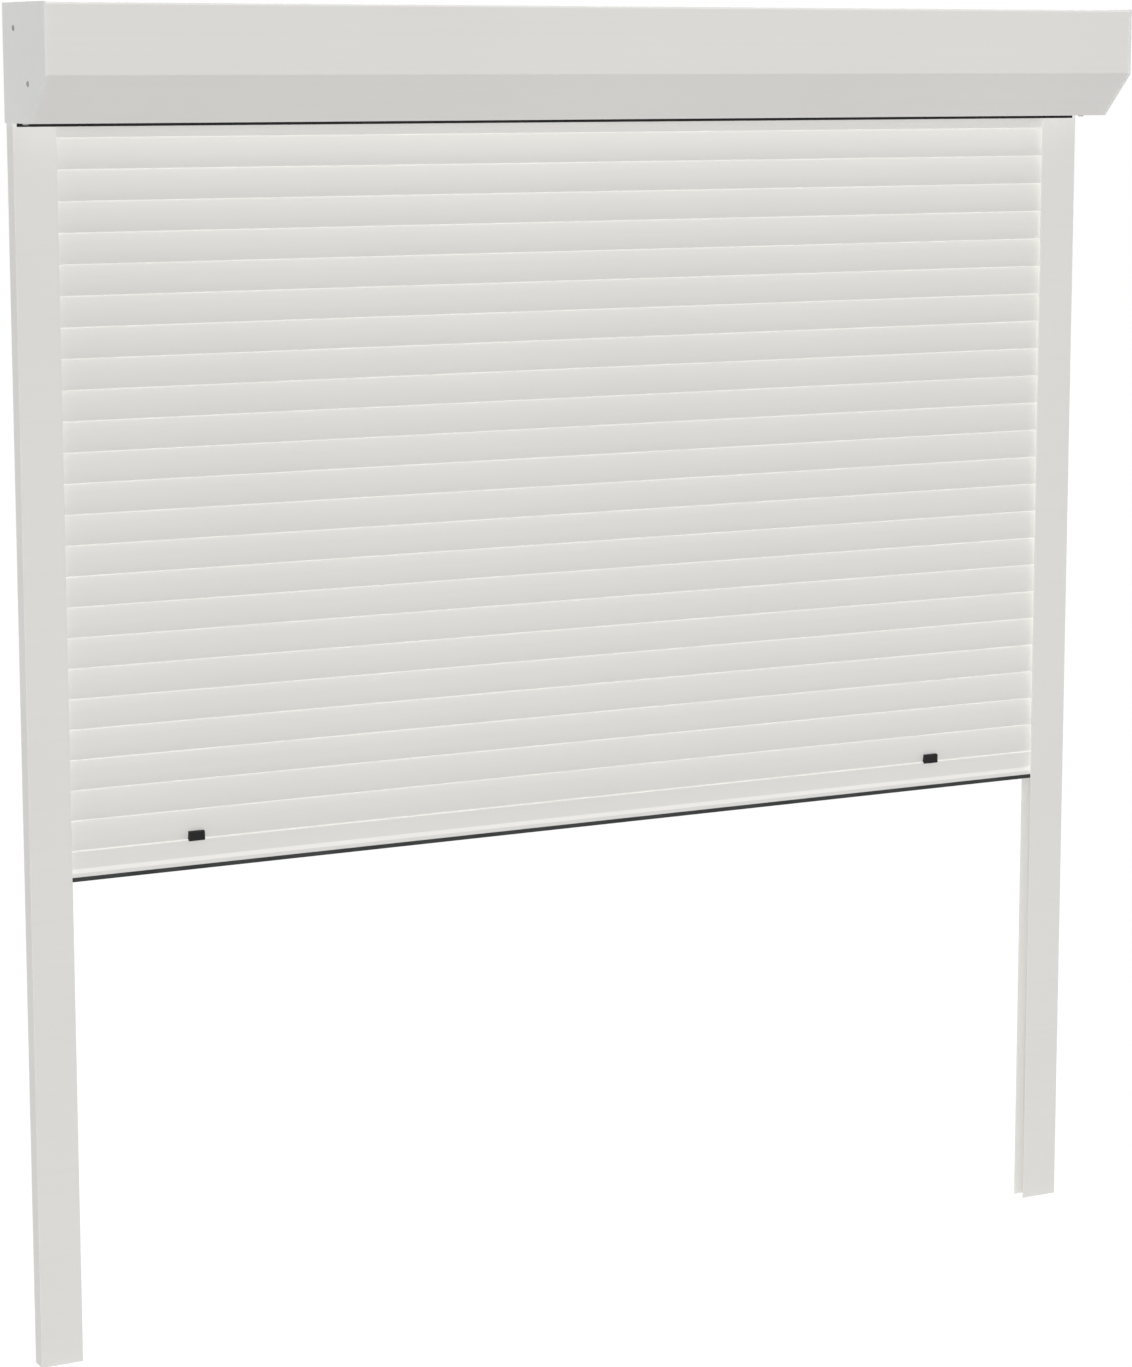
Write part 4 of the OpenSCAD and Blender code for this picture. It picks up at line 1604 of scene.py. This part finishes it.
@dataclass
class Studio:
    """Pale floor, soft light, white surround and the photograph's camera, in metres and degrees."""

    floor_z: float = -1.5739
    floor_size: float = 30.0
    floor_cells: int = 8
    floor_bounce: float = 0.45
    floor_paper: float = 0.755
    floor_lift: float = 0.05
    surround: float = 0.315
    lamps: tuple[Lamp, ...] = (
        Lamp("upper_key", 2.86, (-0.22, -0.47, 0.85)),
        Lamp("lower_fill", 1.28, (-0.5, -0.41, -0.76), colour=(1.0, 0.98, 1.02)),
        Lamp("rear_fill", 2.4, (0.65, 0.72, 0.25), sheen=False),
    )
    camera_at: Triple = (-2.20206, -4.14611, 0.00093)
    camera_down: float = 8.76537
    camera_turn: float = -28.20308
    lens: float = 97.3908
    shift: Point = (-0.018258, -0.037441)

    def build(self) -> None:
        """Builds the floor, the surround, the lights and the camera."""
        self._floor()
        self._surround()
        self._lights()
        self._camera()

    @staticmethod
    def _seen(sheet: NodeSheet) -> bpy.types.NodeSocket:
        """Gives 1 for what the camera sees, straight, mirrored or through glass.

        Args:
            sheet: Sheet that the nodes go in.

        Returns:
            The mask.
        """
        path = sheet.add("ShaderNodeLightPath").outputs
        mirrored_too = sheet.math("MAXIMUM", path["Is Camera Ray"], path["Is Glossy Ray"])
        return sheet.math("MAXIMUM", mirrored_too, path["Is Transmission Ray"])

    def _floor(self) -> None:
        """Builds the floor, which shows white and keeps the shutter's soft shade."""
        bm = bmesh.new()
        level = Matrix.Translation((0, 0, self.floor_z))
        cells, half = self.floor_cells, self.floor_size / 2
        bmesh.ops.create_grid(bm, x_segments=cells, y_segments=cells, size=half, matrix=level)
        mesh = bpy.data.meshes.new("studio_floor")
        bm.to_mesh(mesh)
        bm.free()
        floor = bpy.data.objects.new("studio_floor", mesh)
        bpy.context.scene.collection.objects.link(floor)
        material = bpy.data.materials.new("floor_paper")
        sheet = blank_sheet(material)
        seen = self._seen(sheet)
        shade = sheet.remap(seen, UNIT_SPAN, (self.floor_bounce, self.floor_paper))
        paper = sheet.add("ShaderNodeBsdfDiffuse", {"Color": sheet.grey(shade)})
        lift = sheet.math("MULTIPLY", seen, self.floor_lift)
        glow = sheet.add("ShaderNodeEmission", {"Color": WHITE, "Strength": lift})
        both = sheet.add("ShaderNodeAddShader", {0: paper.outputs[0], 1: glow.outputs[0]})
        sheet.add("ShaderNodeOutputMaterial", {"Surface": both.outputs[0]})
        mesh.materials.append(material)

    def _surround(self) -> None:
        """Builds the surround: even light on the shutter, white to the camera."""
        world = bpy.data.worlds.new("studio_surround")
        bpy.context.scene.world = world
        sheet = blank_sheet(world)
        strength = sheet.remap(self._seen(sheet), UNIT_SPAN, (self.surround, 1.0))
        back = sheet.add("ShaderNodeBackground", {"Color": WHITE, "Strength": strength})
        sheet.add("ShaderNodeOutputWorld", {"Surface": back.outputs[0]})

    def _lights(self) -> None:
        """Builds the broad lights round the shutter."""
        for lamp in self.lamps:
            light = bpy.data.lights.new(lamp.name, "SUN")
            light.energy = lamp.strength
            light.color = lamp.colour
            light.angle = math.radians(lamp.spread)
            light.use_shadow = False
            placed = bpy.data.objects.new(lamp.name, light)
            placed.visible_glossy = lamp.sheen
            placed.rotation_euler = Vector(lamp.shines_from).to_track_quat("Z", "Y").to_euler()
            bpy.context.scene.collection.objects.link(placed)

    def _camera(self) -> None:
        """Builds the camera and makes it the scene's."""
        data = bpy.data.cameras.new("photo_camera")
        data.lens = self.lens
        data.shift_x, data.shift_y = self.shift
        camera = bpy.data.objects.new("photo_camera", data)
        camera.location = self.camera_at
        camera.rotation_euler = (math.radians(90 - self.camera_down), 0.0, math.radians(self.camera_turn))
        bpy.context.scene.collection.objects.link(camera)
        bpy.context.scene.camera = camera
        bpy.context.scene.view_settings.view_transform = "Standard"


def main() -> None:
    """Builds and dresses the shutter and sets the studio."""
    logging.basicConfig(level=logging.INFO, format="%(name)s %(message)s")
    effects = Effects()
    materials = {finish: finish.value.material(effects) for finish in Finish}
    for assembly in (ShutterBox(), GuideRails(), Curtain(), EndBar()):
        assembly.build()
        assembly.dress(materials)
    Drive().dress(materials)
    Studio().build()


if __name__ == "__main__":
    main()
